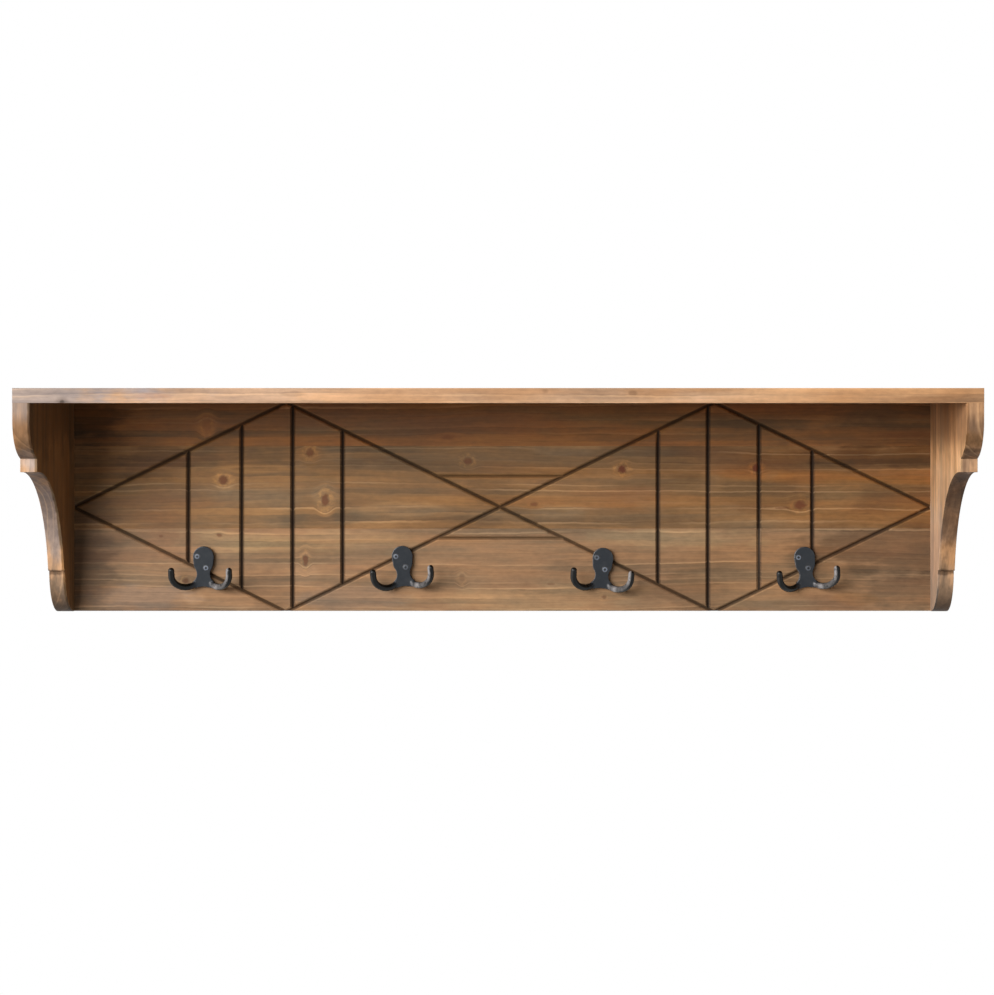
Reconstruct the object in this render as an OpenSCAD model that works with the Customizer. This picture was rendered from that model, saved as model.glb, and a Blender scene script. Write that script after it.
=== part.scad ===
/* [Shelf board] */
// Length of the shelf board, end to end
shelf_length = 915; // [700:1:1200]
// Depth of the shelf board, from its front edge to the wall
shelf_depth = 177; // [160:1:230]
// Thickness of the shelf board
shelf_thickness = 14; // [12:0.5:22]

/* [Back panel] */
// Height from the bottom edge of the panel to the top of the shelf
total_height = 228; // [215:1:280]
// Thickness of the back panel
panel_thickness = 12; // [11:0.5:18]
// Height of the upper board of the panel
upper_board_height = 44; // [41:0.5:52]
// Height of the middle board of the panel
middle_board_height = 85; // [60:0.5:90]
// Width of the routed V grooves at the face
groove_width = 6; // [3:0.1:6.5]
// How far the routed pattern sits off the middle of the panel
pattern_shift = -2; // [-6:0.5:6]
// Height of the two short level grooves above and below the crossing
level_groove_rise = 32; // [20:0.5:50]

/* [Brackets] */
// Thickness of each scroll bracket
bracket_thickness = 16.5; // [14:0.5:22]
// Height of the straight nose under the shelf board
nose_height = 17; // [10:0.5:30]
// Radius of the rounded ovolo below the nose
ovolo_radius = 38; // [28:0.5:42]
// How far the square fillet stands back from the front edge
fillet_setback = 26.5; // [20:0.5:30]
// Height of the square fillet between the ovolo and the cove
fillet_height = 13; // [8:0.5:18]
// Depth of the small ledge where the cove starts
cove_ledge = 3; // [1:0.5:8]
// How far the middle of the cove's curve lies below its lower end
cove_overrun = 26.5; // [5:0.5:40]
// Height of the rounded foot
foot_height = 45; // [30:0.5:50]
// How far the rounded foot stands out from the panel
foot_reach = 35.5; // [24:0.5:44]
// How far the foot steps back behind the lower end of the cove
foot_step = 4; // [1:0.5:8]

/* [Coat hooks] */
// Distance between neighbouring hooks
hook_pitch = 206; // [150:1:260]
// Height of the hook heads above the bottom edge of the panel
hook_rise = 67; // [55:0.5:76]
// Thickness of the cast plate
plate_thickness = 5; // [4:0.1:6]
// Radius of the round head of the plate
head_radius = 10.7; // [10:0.1:13]
// Radius of the plate at its shoulders, under the head
shoulder_radius = 10; // [9:0.1:11]
// Width of the plate at its waist
waist_width = 13.6; // [12:0.1:17]
// Radius of the round gap between the plate and each prong
gap_radius = 9.6; // [9:0.1:13]
// Radius of a prong where it is thickest
prong_radius = 3.4; // [2.8:0.1:3.8]
// How far the tips of the prongs stand out from the panel
prong_reach = 26; // [20:0.5:36]

/* [Fasteners] */
// Diameter of the wood screws that hold the hooks
hook_screw_d = 3.5; // [3:0.1:4]
// Length of the wood screws that hold the hooks
hook_screw_length = 14; // [10:0.5:15]
// Diameter of the dowels between the shelf and the brackets
shelf_dowel_d = 8; // [6:0.5:9]
// Length of the dowels between the shelf and the brackets
shelf_dowel_length = 30; // [20:1:40]
// Diameter of the dowels at the edges of the panel
panel_dowel_d = 6; // [4:0.5:6]
// Length of the dowels at the edges of the panel
panel_dowel_length = 28; // [20:1:40]
// Clearance round each dowel and screw in its hole
peg_clearance = 0.1; // [0.05:0.05:0.3]

/* [Hangers] */
// Distance between the two keyhole hangers, one stud spacing
hanger_spacing = 406.4; // [300:0.1:500]
// Width of a keyhole plate
hanger_width = 16; // [15:0.5:20]
// Length of a keyhole plate
hanger_length = 38; // [36:0.5:40]
// Thickness of a keyhole plate
hanger_thickness = 1.6; // [1.2:0.1:2.5]
// Radius of the round entry of a keyhole
entry_radius = 4.5; // [4.2:0.1:5]
// Width of the slot of a keyhole
slot_width = 4.4; // [3.5:0.1:5]
// Depth of the pocket behind a keyhole, for the head of the wall screw
pocket_depth = 8; // [6:0.5:8.5]

/* [Hidden] */

// Overlap of a cutter past the face it cuts
over = 1;
left = -1;
right = 1;

// Levels: the origin lies on the wall, midway between the keyhole entries
keyhole_drop = 5;
slot_rise = 10;
underside_z = upper_board_height / 2 + keyhole_drop;
shelf_top_z = underside_z + shelf_thickness;
bottom_z = shelf_top_z - total_height;
panel_height = underside_z - bottom_z;
lower_board_height = panel_height - upper_board_height - middle_board_height;
middle_board_z = bottom_z + lower_board_height;
upper_board_z = middle_board_z + middle_board_height;

// Widths and depths
bracket_outer_x = shelf_length / 2;
bracket_inner_x = bracket_outer_x - bracket_thickness;
panel_width = 2 * bracket_inner_x;
panel_face_y = -panel_thickness;
front_y = -shelf_depth;

// Bracket outline, going down the front edge
ovolo_top_z = underside_z - nose_height;
ovolo_end_angle = acos(1 - fillet_setback / ovolo_radius);
fillet_top_z = ovolo_top_z - ovolo_radius * sin(ovolo_end_angle);
fillet_y = front_y + fillet_setback;
cove_top_z = fillet_top_z - fillet_height;
foot_top_z = bottom_z + foot_height;
foot_front_y = panel_face_y - foot_reach;
cove_end_y = foot_front_y - foot_step;
cove_start_y = fillet_y + cove_ledge;
cove_centre_z = foot_top_z - cove_overrun;
cove_rise = cove_top_z - cove_centre_z;
cove_end_angle = asin(cove_overrun / cove_rise);
cove_reach = (cove_end_y - cove_start_y) / cos(cove_end_angle);
curve_steps = 24;

// Routed pattern
diamond_half = panel_width / 4;
pattern_z = bottom_z + panel_height / 2;
peak_rise = panel_height / 2 + over;
groove_depth = groove_width / 2;
short_groove_depth = groove_depth - 0.2;
upright_steps = [-58, -6.5, 46, 101];

// Hook places, by hand: each hook sits a little off its mark and a little tilted
hook_nudge = [1.8, 0.1, 0.5, 1.8];
hook_tilt = [0, 4.4, -3.7, 5.1];
hook_level = [0, 0.5, -1.5, -0.5];
hook_count = 4;

// Hook outline, measured from the middle of its head
shoulder_drop = 7;
gap_centre_x = waist_width / 2 + gap_radius;
gap_centre_z = -shoulder_drop - sqrt(pow(shoulder_radius + gap_radius, 2) - pow(gap_centre_x, 2));
gap_end_angle = 238;
crotch_drop = 13;
crotch_z = gap_centre_z - crotch_drop;
crotch_radius = 22;
crotch_half = 8;
prong_path_radius = gap_radius + prong_radius;
prong_start_angle = 218;
prong_tip_rise = 5;
prong_tip_lean = 1;
prong_tip_radius = 3.2;
prong_root_cover = 0.1;
prong_root_radius = plate_thickness / 2 - prong_root_cover;
prong_root_y = plate_thickness / 2;
prong_sides = 16;
swell_rings = 5;
arc_rings = 14;
tip_rings = 4;
dome_angles = [25, 50, 72];
hook_screw_places = [[-6.3, 0.3], [2.8, -11.5]];
hook_screw_head_d = 6.4;
hook_screw_head_height = 1.9;
recess_width = 0.9;
recess_length = 3.4;
recess_depth = 1.3;

// Hanger details
hanger_screw_offset = 14.5;
hanger_screw_d = 3;
hanger_screw_length = 8;
hanger_screw_head_d = 5;
hanger_screw_head_height = 1.2;
pocket_width = 11;
hanger_z = keyhole_drop;

// Dowel places
shelf_dowel_setbacks = [35, shelf_depth - 40];
shelf_dowel_in_shelf = 10;
panel_dowel_in_bracket = 10;
top_dowel_in_shelf = 9;
top_dowel_count = 4;
panel_dowel_y = panel_face_y / 2;

wood = "peru";
dark_wood = "saddlebrown";
pale_wood = "burlywood";
black_iron = [0.12, 0.12, 0.13];
bright_steel = "silver";

// Points on an elliptical arc, from one angle to another
function arc(cx, cy, rx, ry, from, to, steps) = [
    for (i = [0 : steps])
        let (a = from + (to - from) * i / steps)
        [cx + rx * cos(a), cy + ry * sin(a)]
];

// Outline of a scroll bracket seen from the side, in depth and height
function bracket_outline() = concat(
    [[0, underside_z], [front_y, underside_z]],
    arc(front_y + ovolo_radius, ovolo_top_z, ovolo_radius, ovolo_radius,
        180, 180 + ovolo_end_angle, curve_steps),
    [[fillet_y, cove_top_z]],
    arc(cove_start_y, cove_centre_z, cove_reach, cove_rise, 90, cove_end_angle, curve_steps),
    arc(panel_face_y, foot_top_z, foot_reach, foot_height, 180, 270, curve_steps),
    [[0, bottom_z]]
);

// A part's outline in depth and height, given a width along the shelf
module side_slab(points, x, width) {
    translate([x, 0, 0])
        rotate([90, 0, 90])
        linear_extrude(width)
        polygon(points);
}

// Dowels that stand up out of a bracket into the shelf
module shelf_dowel_set(side, clearance = 0) {
    x = side * (bracket_inner_x + bracket_thickness / 2);
    for (setback = shelf_dowel_setbacks)
        translate([x, -setback, underside_z + shelf_dowel_in_shelf + clearance - shelf_dowel_length])
        cylinder(d = shelf_dowel_d + 2 * clearance, h = shelf_dowel_length, $fn = 48);
}

// Dowels that run from the end of the panel into a bracket
module panel_dowel_set(side, clearance = 0) {
    start = bracket_inner_x + panel_dowel_in_bracket + clearance;
    for (z = [bottom_z + lower_board_height / 2, middle_board_z + middle_board_height / 2])
        translate([side * start, panel_dowel_y, z])
        rotate([0, -90 * side, 0])
        cylinder(d = panel_dowel_d + 2 * clearance, h = panel_dowel_length + 2 * clearance, $fn = 48);
}

// Dowels between the top edge of the panel and the shelf
module top_dowel_set(clearance = 0) {
    pitch = panel_width / top_dowel_count;
    for (i = [0 : top_dowel_count - 1])
        translate([
            (i + 0.5) * pitch - panel_width / 2,
            panel_dowel_y,
            underside_z + top_dowel_in_shelf + clearance - panel_dowel_length
        ])
        cylinder(d = panel_dowel_d + 2 * clearance, h = panel_dowel_length, $fn = 48);
}

// One V groove between two points on the face of the panel
module v_groove(from, to, depth) {
    run = norm(to - from);
    mouth = depth + over;
    translate([from[0], panel_face_y, from[1]])
        rotate([0, -atan2(to[1] - from[1], to[0] - from[0]), 0])
        side_slab([[depth, 0], [-over, mouth], [-over, -mouth]], 0, run);
}

// The outer half of one diamond, and the uprights inside it
module diamond_grooves(side) {
    peak_x = pattern_shift + side * diamond_half;
    end_x = side * (bracket_inner_x + over);
    for (up = [-1, 1])
        v_groove([peak_x, pattern_z + up * peak_rise], [end_x, pattern_z], groove_depth);
    for (offset = upright_steps) {
        reach = peak_rise * (1 - abs(offset) / diamond_half);
        x = peak_x + side * offset;
        v_groove([x, pattern_z - reach], [x, pattern_z + reach], short_groove_depth);
    }
}

module face_grooves() {
    diamond_grooves(left);
    diamond_grooves(right);
    half_run = level_groove_rise * diamond_half / peak_rise;
    for (up = [-1, 1]) {
        v_groove(
            [pattern_shift - diamond_half, pattern_z - up * peak_rise],
            [pattern_shift + diamond_half, pattern_z + up * peak_rise],
            groove_depth
        );
        v_groove(
            [pattern_shift - half_run, pattern_z + up * level_groove_rise],
            [pattern_shift + half_run, pattern_z + up * level_groove_rise],
            short_groove_depth
        );
    }
}

// One board of the back panel, before its holes
module panel_board(z, height) {
    difference() {
        translate([-bracket_inner_x, panel_face_y, z])
            cube([panel_width, panel_thickness, height]);
        face_grooves();
        panel_dowel_set(left, peg_clearance);
        panel_dowel_set(right, peg_clearance);
    }
}

// Turns and moves a hook, or what goes with it, to its place on the panel
module hook_place(i) {
    x = (i - (hook_count - 1) / 2) * hook_pitch + hook_nudge[i];
    translate([x, panel_face_y, bottom_z + hook_rise - head_radius + hook_level[i]])
        rotate([0, -hook_tilt[i], 0])
        children();
}

// Where the head runs into the shoulder, and the shoulder into the gap
head_end_angle = -asin((head_radius - shoulder_radius) / shoulder_drop);
shoulder_end_angle = atan2(gap_centre_z + shoulder_drop, gap_centre_x);

// Right half of the plate's outline, from the top of the head to the crotch
function half_plate() = concat(
    arc(0, 0, head_radius, head_radius, 90, head_end_angle, curve_steps / 2),
    arc(0, -shoulder_drop, shoulder_radius, shoulder_radius,
        head_end_angle, shoulder_end_angle, curve_steps / 4),
    arc(gap_centre_x, gap_centre_z, gap_radius, gap_radius,
        180 + shoulder_end_angle, gap_end_angle, curve_steps / 2),
    arc(0, crotch_z - crotch_radius, crotch_radius, crotch_radius,
        90 - asin(crotch_half / crotch_radius), 90, curve_steps / 4)
);

function mirrored(points) = [
    for (i = [len(points) - 2 : -1 : 1])
        [-points[i][0], points[i][1]]
];

// Middle line of the right prong: round the gap, then up to the tip
prong_side_x = gap_centre_x + prong_path_radius;
prong_root_x = gap_centre_x + prong_path_radius * cos(prong_start_angle);
prong_bend_y = prong_reach - prong_tip_radius - prong_tip_lean;
function prong_depth(x) =
    prong_root_y + (prong_bend_y - prong_root_y) * (x - prong_root_x) / (prong_side_x - prong_root_x);
function prong_line() = concat(
    [
        for (p = arc(gap_centre_x, gap_centre_z, prong_path_radius, prong_path_radius,
                     prong_start_angle, 360, arc_rings))
            [p[0], -prong_depth(p[0]), p[1]]
    ],
    [
        for (i = [1 : tip_rings])
            let (t = i / tip_rings)
            [prong_side_x, -prong_bend_y - prong_tip_lean * t, gap_centre_z + prong_tip_rise * t]
    ]
);

// Radius of a prong at a ring: it swells out of the plate, then thins a little to its tip
function prong_radius_at(i) =
    i < swell_rings
        ? prong_root_radius + (prong_radius - prong_root_radius) * i / swell_rings
        : prong_radius
            + (prong_tip_radius - prong_radius) * (i - swell_rings) / (arc_rings + tip_rings - swell_rings);

function unit(v) = v / norm(v);
function direction(line, i) = unit(line[min(i + 1, len(line) - 1)] - line[max(i - 1, 0)]);

// One ring of points round a line, square to it
function ring(centre, along, radius) =
    let (side = unit(cross(along, [1, 1, 0])), up = cross(side, along))
    [
        for (i = [0 : prong_sides - 1])
            let (a = 360 * i / prong_sides)
            centre + radius * (cos(a) * side + sin(a) * up)
    ];

// A round bar along the middle line, with a domed end
module prong_bar() {
    line = prong_line();
    last = len(line) - 1;
    tip = line[last];
    tip_way = direction(line, last);
    body_rings = [
        for (i = [0 : last])
            ring(line[i], direction(line, i), prong_radius_at(i))
    ];
    dome_rings = [
        for (a = dome_angles)
            ring(tip + prong_tip_radius * sin(a) * tip_way, tip_way, prong_tip_radius * cos(a))
    ];
    rings = concat(body_rings, dome_rings);
    count = len(rings);
    points = concat(
        [for (r = rings) each r],
        [line[0], tip + prong_tip_radius * tip_way]
    );
    root_point = count * prong_sides;
    tip_point = root_point + 1;
    faces = concat(
        [
            for (i = [0 : count - 2], j = [0 : prong_sides - 1], half = [0, 1])
                let (
                    k = (j + 1) % prong_sides,
                    a = i * prong_sides + j,
                    b = i * prong_sides + k,
                    c = a + prong_sides,
                    d = b + prong_sides
                )
                half == 0 ? [a, d, c] : [a, b, d]
        ],
        [
            for (j = [0 : prong_sides - 1])
                [root_point, (j + 1) % prong_sides, j]
        ],
        [
            for (j = [0 : prong_sides - 1])
                [
                    tip_point,
                    (count - 1) * prong_sides + j,
                    (count - 1) * prong_sides + (j + 1) % prong_sides
                ]
        ]
    );
    polyhedron(points, faces);
}

// Hole through the plate and into the panel for one hook screw
module hook_screw_hole(place) {
    translate([place[0], 0, place[1]])
        rotate([-90, 0, 0]) {
            translate([0, 0, -plate_thickness - over])
                cylinder(
                    d = hook_screw_d + 2 * peg_clearance,
                    h = hook_screw_length + 2 * over, $fn = 32
                );
            translate([0, 0, -plate_thickness])
                cylinder(
                    d1 = hook_screw_head_d + 2 * peg_clearance,
                    d2 = hook_screw_d + 2 * peg_clearance,
                    h = hook_screw_head_height, $fn = 32
                );
        }
}

module cast_hook() {
    half = half_plate();
    difference() {
        union() {
            rotate([90, 0, 0])
                linear_extrude(plate_thickness)
                polygon(concat(half, mirrored(half)));
            prong_bar();
            mirror([1, 0, 0])
                prong_bar();
        }
        for (place = hook_screw_places)
            hook_screw_hole(place);
    }
}

module coat_hook(i) {
    color(black_iron)
        hook_place(i)
        cast_hook();
}

// A countersunk wood screw with a cross recess, its head at the origin facing forwards
module wood_screw(d, length, head_d, head_height) {
    point = d;
    rotate([-90, 0, 0])
        difference() {
            union() {
                cylinder(d1 = head_d, d2 = d, h = head_height, $fn = 32);
                cylinder(d = d, h = length - point, $fn = 32);
                translate([0, 0, length - point])
                    cylinder(d1 = d, d2 = 0, h = point, $fn = 32);
            }
            for (turn = [0, 90])
                rotate([0, 0, turn])
                translate([-recess_length / 2, -recess_width / 2, -over])
                cube([recess_length, recess_width, over + recess_depth]);
        }
}

module hook_screws(i) {
    color(black_iron)
        hook_place(i)
        for (place = hook_screw_places)
            translate([place[0], -plate_thickness, place[1]])
            wood_screw(hook_screw_d, hook_screw_length, hook_screw_head_d, hook_screw_head_height);
}

// Stadium outline of a slot or plate, upright, seen from the wall
module upright_slot(width, length) {
    square([width, length - width], center = true);
    for (end = [-1, 1])
        translate([0, end * (length - width) / 2])
        circle(d = width, $fn = 48);
}

// Keyhole outline, with its entry at the origin and its slot above
module keyhole(grow = 0) {
    circle(r = entry_radius + grow, $fn = 48);
    translate([-slot_width / 2 - grow, 0])
        square([slot_width + 2 * grow, slot_rise]);
    translate([0, slot_rise])
        circle(d = slot_width + 2 * grow, $fn = 48);
}

// An outline in width and height, cut from the wall face forwards
module from_wall(side, depth, z = 0) {
    translate([side * hanger_spacing / 2, 0, z])
        rotate([90, 0, 0])
        linear_extrude(depth)
        children();
}

module hanger_screw_places(side) {
    for (end = [-1, 1])
        translate([side * hanger_spacing / 2, 0, hanger_z + end * hanger_screw_offset])
        children();
}

// What the upper board loses to one hanger: the seat, the pocket and the pilot holes
module hanger_seat(side) {
    translate([0, over, 0])
        from_wall(side, hanger_thickness + over, hanger_z)
        upright_slot(hanger_width + 2 * peg_clearance, hanger_length + 2 * peg_clearance);
    pocket_rise = slot_rise - entry_radius + pocket_width / 2;
    from_wall(side, pocket_depth, pocket_rise / 2)
        upright_slot(pocket_width, pocket_width + pocket_rise);
    hanger_screw_places(side)
        rotate([90, 0, 0])
        cylinder(
            d = hanger_screw_d + 2 * peg_clearance,
            h = hanger_screw_length + peg_clearance, $fn = 32
        );
}

module keyhole_plate(side) {
    color(bright_steel)
        difference() {
            from_wall(side, hanger_thickness, hanger_z)
                upright_slot(hanger_width, hanger_length);
            translate([0, over, 0])
                from_wall(side, hanger_thickness + 2 * over)
                keyhole();
            hanger_screw_places(side)
                rotate([90, 0, 0]) {
                    translate([0, 0, -over])
                        cylinder(
                            d = hanger_screw_d + 2 * peg_clearance,
                            h = hanger_thickness + 2 * over, $fn = 32
                        );
                    cylinder(
                        d1 = hanger_screw_head_d + 2 * peg_clearance,
                        d2 = hanger_screw_d + 2 * peg_clearance,
                        h = hanger_screw_head_height, $fn = 32
                    );
                }
        }
}

module plate_screws(side) {
    color(bright_steel)
        hanger_screw_places(side)
        rotate([0, 0, 180])
        wood_screw(hanger_screw_d, hanger_screw_length, hanger_screw_head_d, hanger_screw_head_height);
}

module shelf_board() {
    color(wood)
        difference() {
            translate([-shelf_length / 2, front_y, underside_z])
                cube([shelf_length, shelf_depth, shelf_thickness]);
            shelf_dowel_set(left, peg_clearance);
            shelf_dowel_set(right, peg_clearance);
            top_dowel_set(peg_clearance);
        }
}

module bracket(side) {
    x = side == right ? bracket_inner_x : -bracket_outer_x;
    color(wood)
        difference() {
            side_slab(bracket_outline(), x, bracket_thickness);
            shelf_dowel_set(side, peg_clearance);
            panel_dowel_set(side, peg_clearance);
        }
}

module back_board_upper() {
    color(dark_wood)
        difference() {
            panel_board(upper_board_z, upper_board_height);
            top_dowel_set(peg_clearance);
            hanger_seat(left);
            hanger_seat(right);
        }
}

module back_board_middle() {
    color(dark_wood)
        panel_board(middle_board_z, middle_board_height);
}

module back_board_lower() {
    color(dark_wood)
        difference() {
            panel_board(bottom_z, lower_board_height);
            for (i = [0 : hook_count - 1])
                hook_place(i)
                for (place = hook_screw_places)
                    hook_screw_hole(place);
        }
}

module shelf_dowels(side) {
    color(pale_wood)
        shelf_dowel_set(side);
}

module panel_dowels(side) {
    color(pale_wood)
        panel_dowel_set(side);
}

module top_dowels() {
    color(pale_wood)
        top_dowel_set();
}

shelf_board();
bracket(left);  // left_bracket
bracket(right);  // right_bracket
back_board_upper();
back_board_middle();
back_board_lower();
coat_hook(0);  // coat_hook_1
coat_hook(1);  // coat_hook_2
coat_hook(2);  // coat_hook_3
coat_hook(3);  // coat_hook_4
hook_screws(0);  // hook_screws_1
hook_screws(1);  // hook_screws_2
hook_screws(2);  // hook_screws_3
hook_screws(3);  // hook_screws_4
shelf_dowels(left);  // shelf_dowels_left
shelf_dowels(right);  // shelf_dowels_right
panel_dowels(left);  // panel_dowels_left
panel_dowels(right);  // panel_dowels_right
top_dowels();
keyhole_plate(left);  // keyhole_plate_left
keyhole_plate(right);  // keyhole_plate_right
plate_screws(left);  // plate_screws_left
plate_screws(right);  // plate_screws_right
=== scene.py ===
import math

import bmesh
import bpy
from mathutils import Matrix, Vector


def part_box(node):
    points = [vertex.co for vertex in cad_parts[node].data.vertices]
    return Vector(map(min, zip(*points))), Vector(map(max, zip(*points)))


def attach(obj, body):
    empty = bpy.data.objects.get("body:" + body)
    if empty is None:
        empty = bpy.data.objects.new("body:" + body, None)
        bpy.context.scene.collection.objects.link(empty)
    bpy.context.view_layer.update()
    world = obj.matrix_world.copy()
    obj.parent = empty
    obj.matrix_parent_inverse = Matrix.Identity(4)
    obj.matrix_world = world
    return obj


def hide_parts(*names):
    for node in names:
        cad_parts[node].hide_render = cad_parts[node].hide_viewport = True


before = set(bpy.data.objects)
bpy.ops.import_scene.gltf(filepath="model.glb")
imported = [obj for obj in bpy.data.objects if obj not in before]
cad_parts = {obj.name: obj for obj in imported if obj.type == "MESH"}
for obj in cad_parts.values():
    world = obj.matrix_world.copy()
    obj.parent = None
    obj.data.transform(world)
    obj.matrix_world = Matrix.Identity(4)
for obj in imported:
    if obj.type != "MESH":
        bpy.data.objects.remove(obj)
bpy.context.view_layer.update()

MM = 0.001

# Named places, read from the frame. The wall is at Y 0 and the room at negative Y.
SHELF_LOW, SHELF_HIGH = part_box("shelf_board")
PANEL_LOW, PANEL_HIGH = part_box("back_board_lower")
MIDDLE_LOW, MIDDLE_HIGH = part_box("back_board_middle")
FRONT_Y = SHELF_LOW.y
PANEL_FACE_Y = PANEL_LOW.y
SHELF_UNDERSIDE_Z = SHELF_LOW.z
PANEL_BOTTOM_Z = PANEL_LOW.z

# The photograph's view: its size in pixels, where the lines square to the panel meet in it, and the camera
PHOTO_WIDTH = 994
PHOTO_HEIGHT = 995
VANISHING_X = 546
VANISHING_Y = 408
FOCAL_PIXELS = 1849
SENSOR_MM = 36
CAMERA_DISTANCE = 1.740
CAMERA_X = 0.045
CAMERA_BELOW_TOP = 0.0188
CAMERA_Z = SHELF_HIGH.z - CAMERA_BELOW_TOP


def metres_per_pixel(plane_y):
    """How much one pixel of the photograph covers on an upright plane."""
    return (CAMERA_DISTANCE + plane_y - FRONT_Y) / FOCAL_PIXELS


PANEL_SCALE = metres_per_pixel(PANEL_FACE_Y)
EDGE_SCALE = metres_per_pixel(FRONT_Y)


def seen_at(pixel_x, pixel_y, plane_y):
    """Where a pixel of the photograph meets an upright plane, as a place along X and a height."""
    scale = metres_per_pixel(plane_y)
    return CAMERA_X + (pixel_x - VANISHING_X) * scale, CAMERA_Z - (pixel_y - VANISHING_Y) * scale


def srgb(red, green, blue):
    """A colour as written on a 0 to 255 scale, in the linear values that a shader takes."""
    def linear(value):
        value = value / 255
        return value / 12.92 if value <= 0.04045 else ((value + 0.055) / 1.055) ** 2.4
    return (linear(red), linear(green), linear(blue), 1)


class Tree:
    """Short calls for laying out nodes. An input is given as a socket to link or as a plain value."""

    def __init__(self, tree):
        self.tree = tree

    def plug(self, source, socket):
        if isinstance(source, bpy.types.NodeSocket):
            self.tree.links.new(source, socket)
        else:
            socket.default_value = source

    def fill(self, node, inputs):
        """Gives a node its inputs, each under its name or number."""
        for key, source in inputs.items():
            self.plug(source, node.inputs[key])
        return node

    def node(self, kind, inputs=None, **settings):
        made = self.tree.nodes.new(kind)
        for key, value in settings.items():
            setattr(made, key, value)
        return self.fill(made, inputs or {})

    def result(self, kind, inputs=None, **settings):
        """The first output of a new node."""
        return self.node(kind, inputs, **settings).outputs[0]

    def math(self, operation, *values):
        return self.result("ShaderNodeMath", dict(enumerate(values)), operation=operation)

    def plus(self, first, second):
        return self.math("ADD", first, second)

    def minus(self, first, second):
        return self.math("SUBTRACT", first, second)

    def times(self, first, *others):
        for other in others:
            first = self.math("MULTIPLY", first, other)
        return first

    def summed(self, start, *weighted):
        """A start, plus each value times its weight."""
        for value, weight in weighted:
            start = self.math("MULTIPLY_ADD", value, weight, start)
        return start

    def centred(self, noise):
        """A noise that runs from 0 to 1, about 0."""
        return self.minus(noise, 0.5)

    def vector(self, operation, *values):
        made = self.node("ShaderNodeVectorMath", dict(enumerate(values)), operation=operation)
        return made.outputs["Value" if operation == "LENGTH" else "Vector"]

    def scaled(self, vector, scale):
        return self.result("ShaderNodeVectorMath", {0: vector, "Scale": scale}, operation="SCALE")

    def parts(self, vector):
        return tuple(self.node("ShaderNodeSeparateXYZ", {0: vector}).outputs)

    def join(self, x, y, z):
        return self.result("ShaderNodeCombineXYZ", {0: x, 1: y, 2: z})

    def noise(self, vector, scale, detail=2.0, roughness=0.5):
        inputs = {"Vector": vector, "Scale": scale, "Detail": detail, "Roughness": roughness}
        return self.result("ShaderNodeTexNoise", inputs)

    def spread(self, value, low, high, to_low=0.0, to_high=1.0, interpolation="SMOOTHSTEP"):
        """A value between low and high, eased onto another range and held at its ends."""
        inputs = {"Value": value, "From Min": low, "From Max": high, "To Min": to_low, "To Max": to_high}
        return self.result("ShaderNodeMapRange", inputs, clamp=True, interpolation_type=interpolation)

    def ramp(self, value, low, high, to_low=0.0, to_high=1.0):
        """Like spread, but in a straight line."""
        return self.spread(value, low, high, to_low, to_high, "LINEAR")

    def blend(self, factor, first, second, mode="MIX"):
        inputs = {"Factor": factor, 6: first, 7: second}
        made = self.node("ShaderNodeMix", inputs, data_type="RGBA", blend_type=mode, clamp_factor=True)
        return made.outputs[2]

    def tint(self, amount, colour, name):
        """Multiplies a colour by a tint, as far as the amount says."""
        return self.blend(amount, colour, TINTS[name], "MULTIPLY")

    def bump(self, height, distance, strength):
        return self.result("ShaderNodeBump", {"Height": height, "Distance": distance, "Strength": strength})

    def place(self):
        return self.node("ShaderNodeTexCoord").outputs["Object"]

    def attribute(self, name):
        return self.node("ShaderNodeAttribute", attribute_name=name).outputs["Fac"]


def new_material(name):
    material = bpy.data.materials.new(name)
    material.use_nodes = True
    return material, Tree(material.node_tree), material.node_tree.nodes["Principled BSDF"]


def new_group(name, kind, inputs, outputs):
    """An empty node group, with its tree, the sockets that it is given and the node that it ends in."""
    group = bpy.data.node_groups.new(name, kind)
    for in_out, sockets in (("INPUT", inputs), ("OUTPUT", outputs)):
        for label, socket_type in sockets.items():
            group.interface.new_socket(label, in_out=in_out, socket_type="NodeSocket" + socket_type)
    tree = Tree(group)
    return group, tree, tree.node("NodeGroupInput").outputs, tree.node("NodeGroupOutput")


# Stained fir

# The warm, grey and reddish stain of each board
UPPER_STAINS = (srgb(142, 94, 52), srgb(106, 80, 53), srgb(118, 72, 44))
MIDDLE_STAINS = (srgb(141, 103, 64), srgb(112, 88, 62), srgb(125, 82, 51))
LOWER_STAINS = (srgb(153, 115, 81), srgb(125, 101, 76), srgb(132, 92, 64))
CARCASS_STAINS = (srgb(206, 160, 120), srgb(168, 134, 106), srgb(160, 110, 66))
PALE_LINE = srgb(205, 166, 122)
KNOT_BROWN = srgb(94, 46, 26)
GROOVE_SHADE_BROWN = srgb(34, 24, 16)

# What patches, lightened rims and groove lips, pale rings and end grain multiply the stain by. Dark and deep
# serve for dark wood and for painted shade, pale for pale wood and for painted light, full for painted
# light, and pink for a painted pale sheen
TINTS = {
    "orange": (1.15, 1.0, 0.76, 1),
    "grey": (0.78, 0.84, 0.90, 1),
    "red": (1.0, 0.82, 0.72, 1),
    "pale": (1.35, 1.42, 1.5, 1),
    "dark": (0.55, 0.53, 0.52, 1),
    "deep": (0.30, 0.27, 0.24, 1),
    "pink": (0.76, 1.0, 1.5, 1),
    "slate": (0.36, 0.42, 0.5, 1),
    "end": (0.42, 0.40, 0.40, 1),
    "lightened": (1.3, 1.36, 1.42, 1),
    "full": (1.45, 1.55, 1.5, 1),
    "amber": (1.0, 0.86, 0.56, 1),
    "glow": (1.6, 1.48, 1.25, 1),
}

# Grain spaces: which of X, Y and Z runs along, across and through the grain
ALONG_SHELF = (0, 1, 2)
ALONG_PANEL = (0, 2, 1)
UP_BRACKET = (2, 1, 0)

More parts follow.
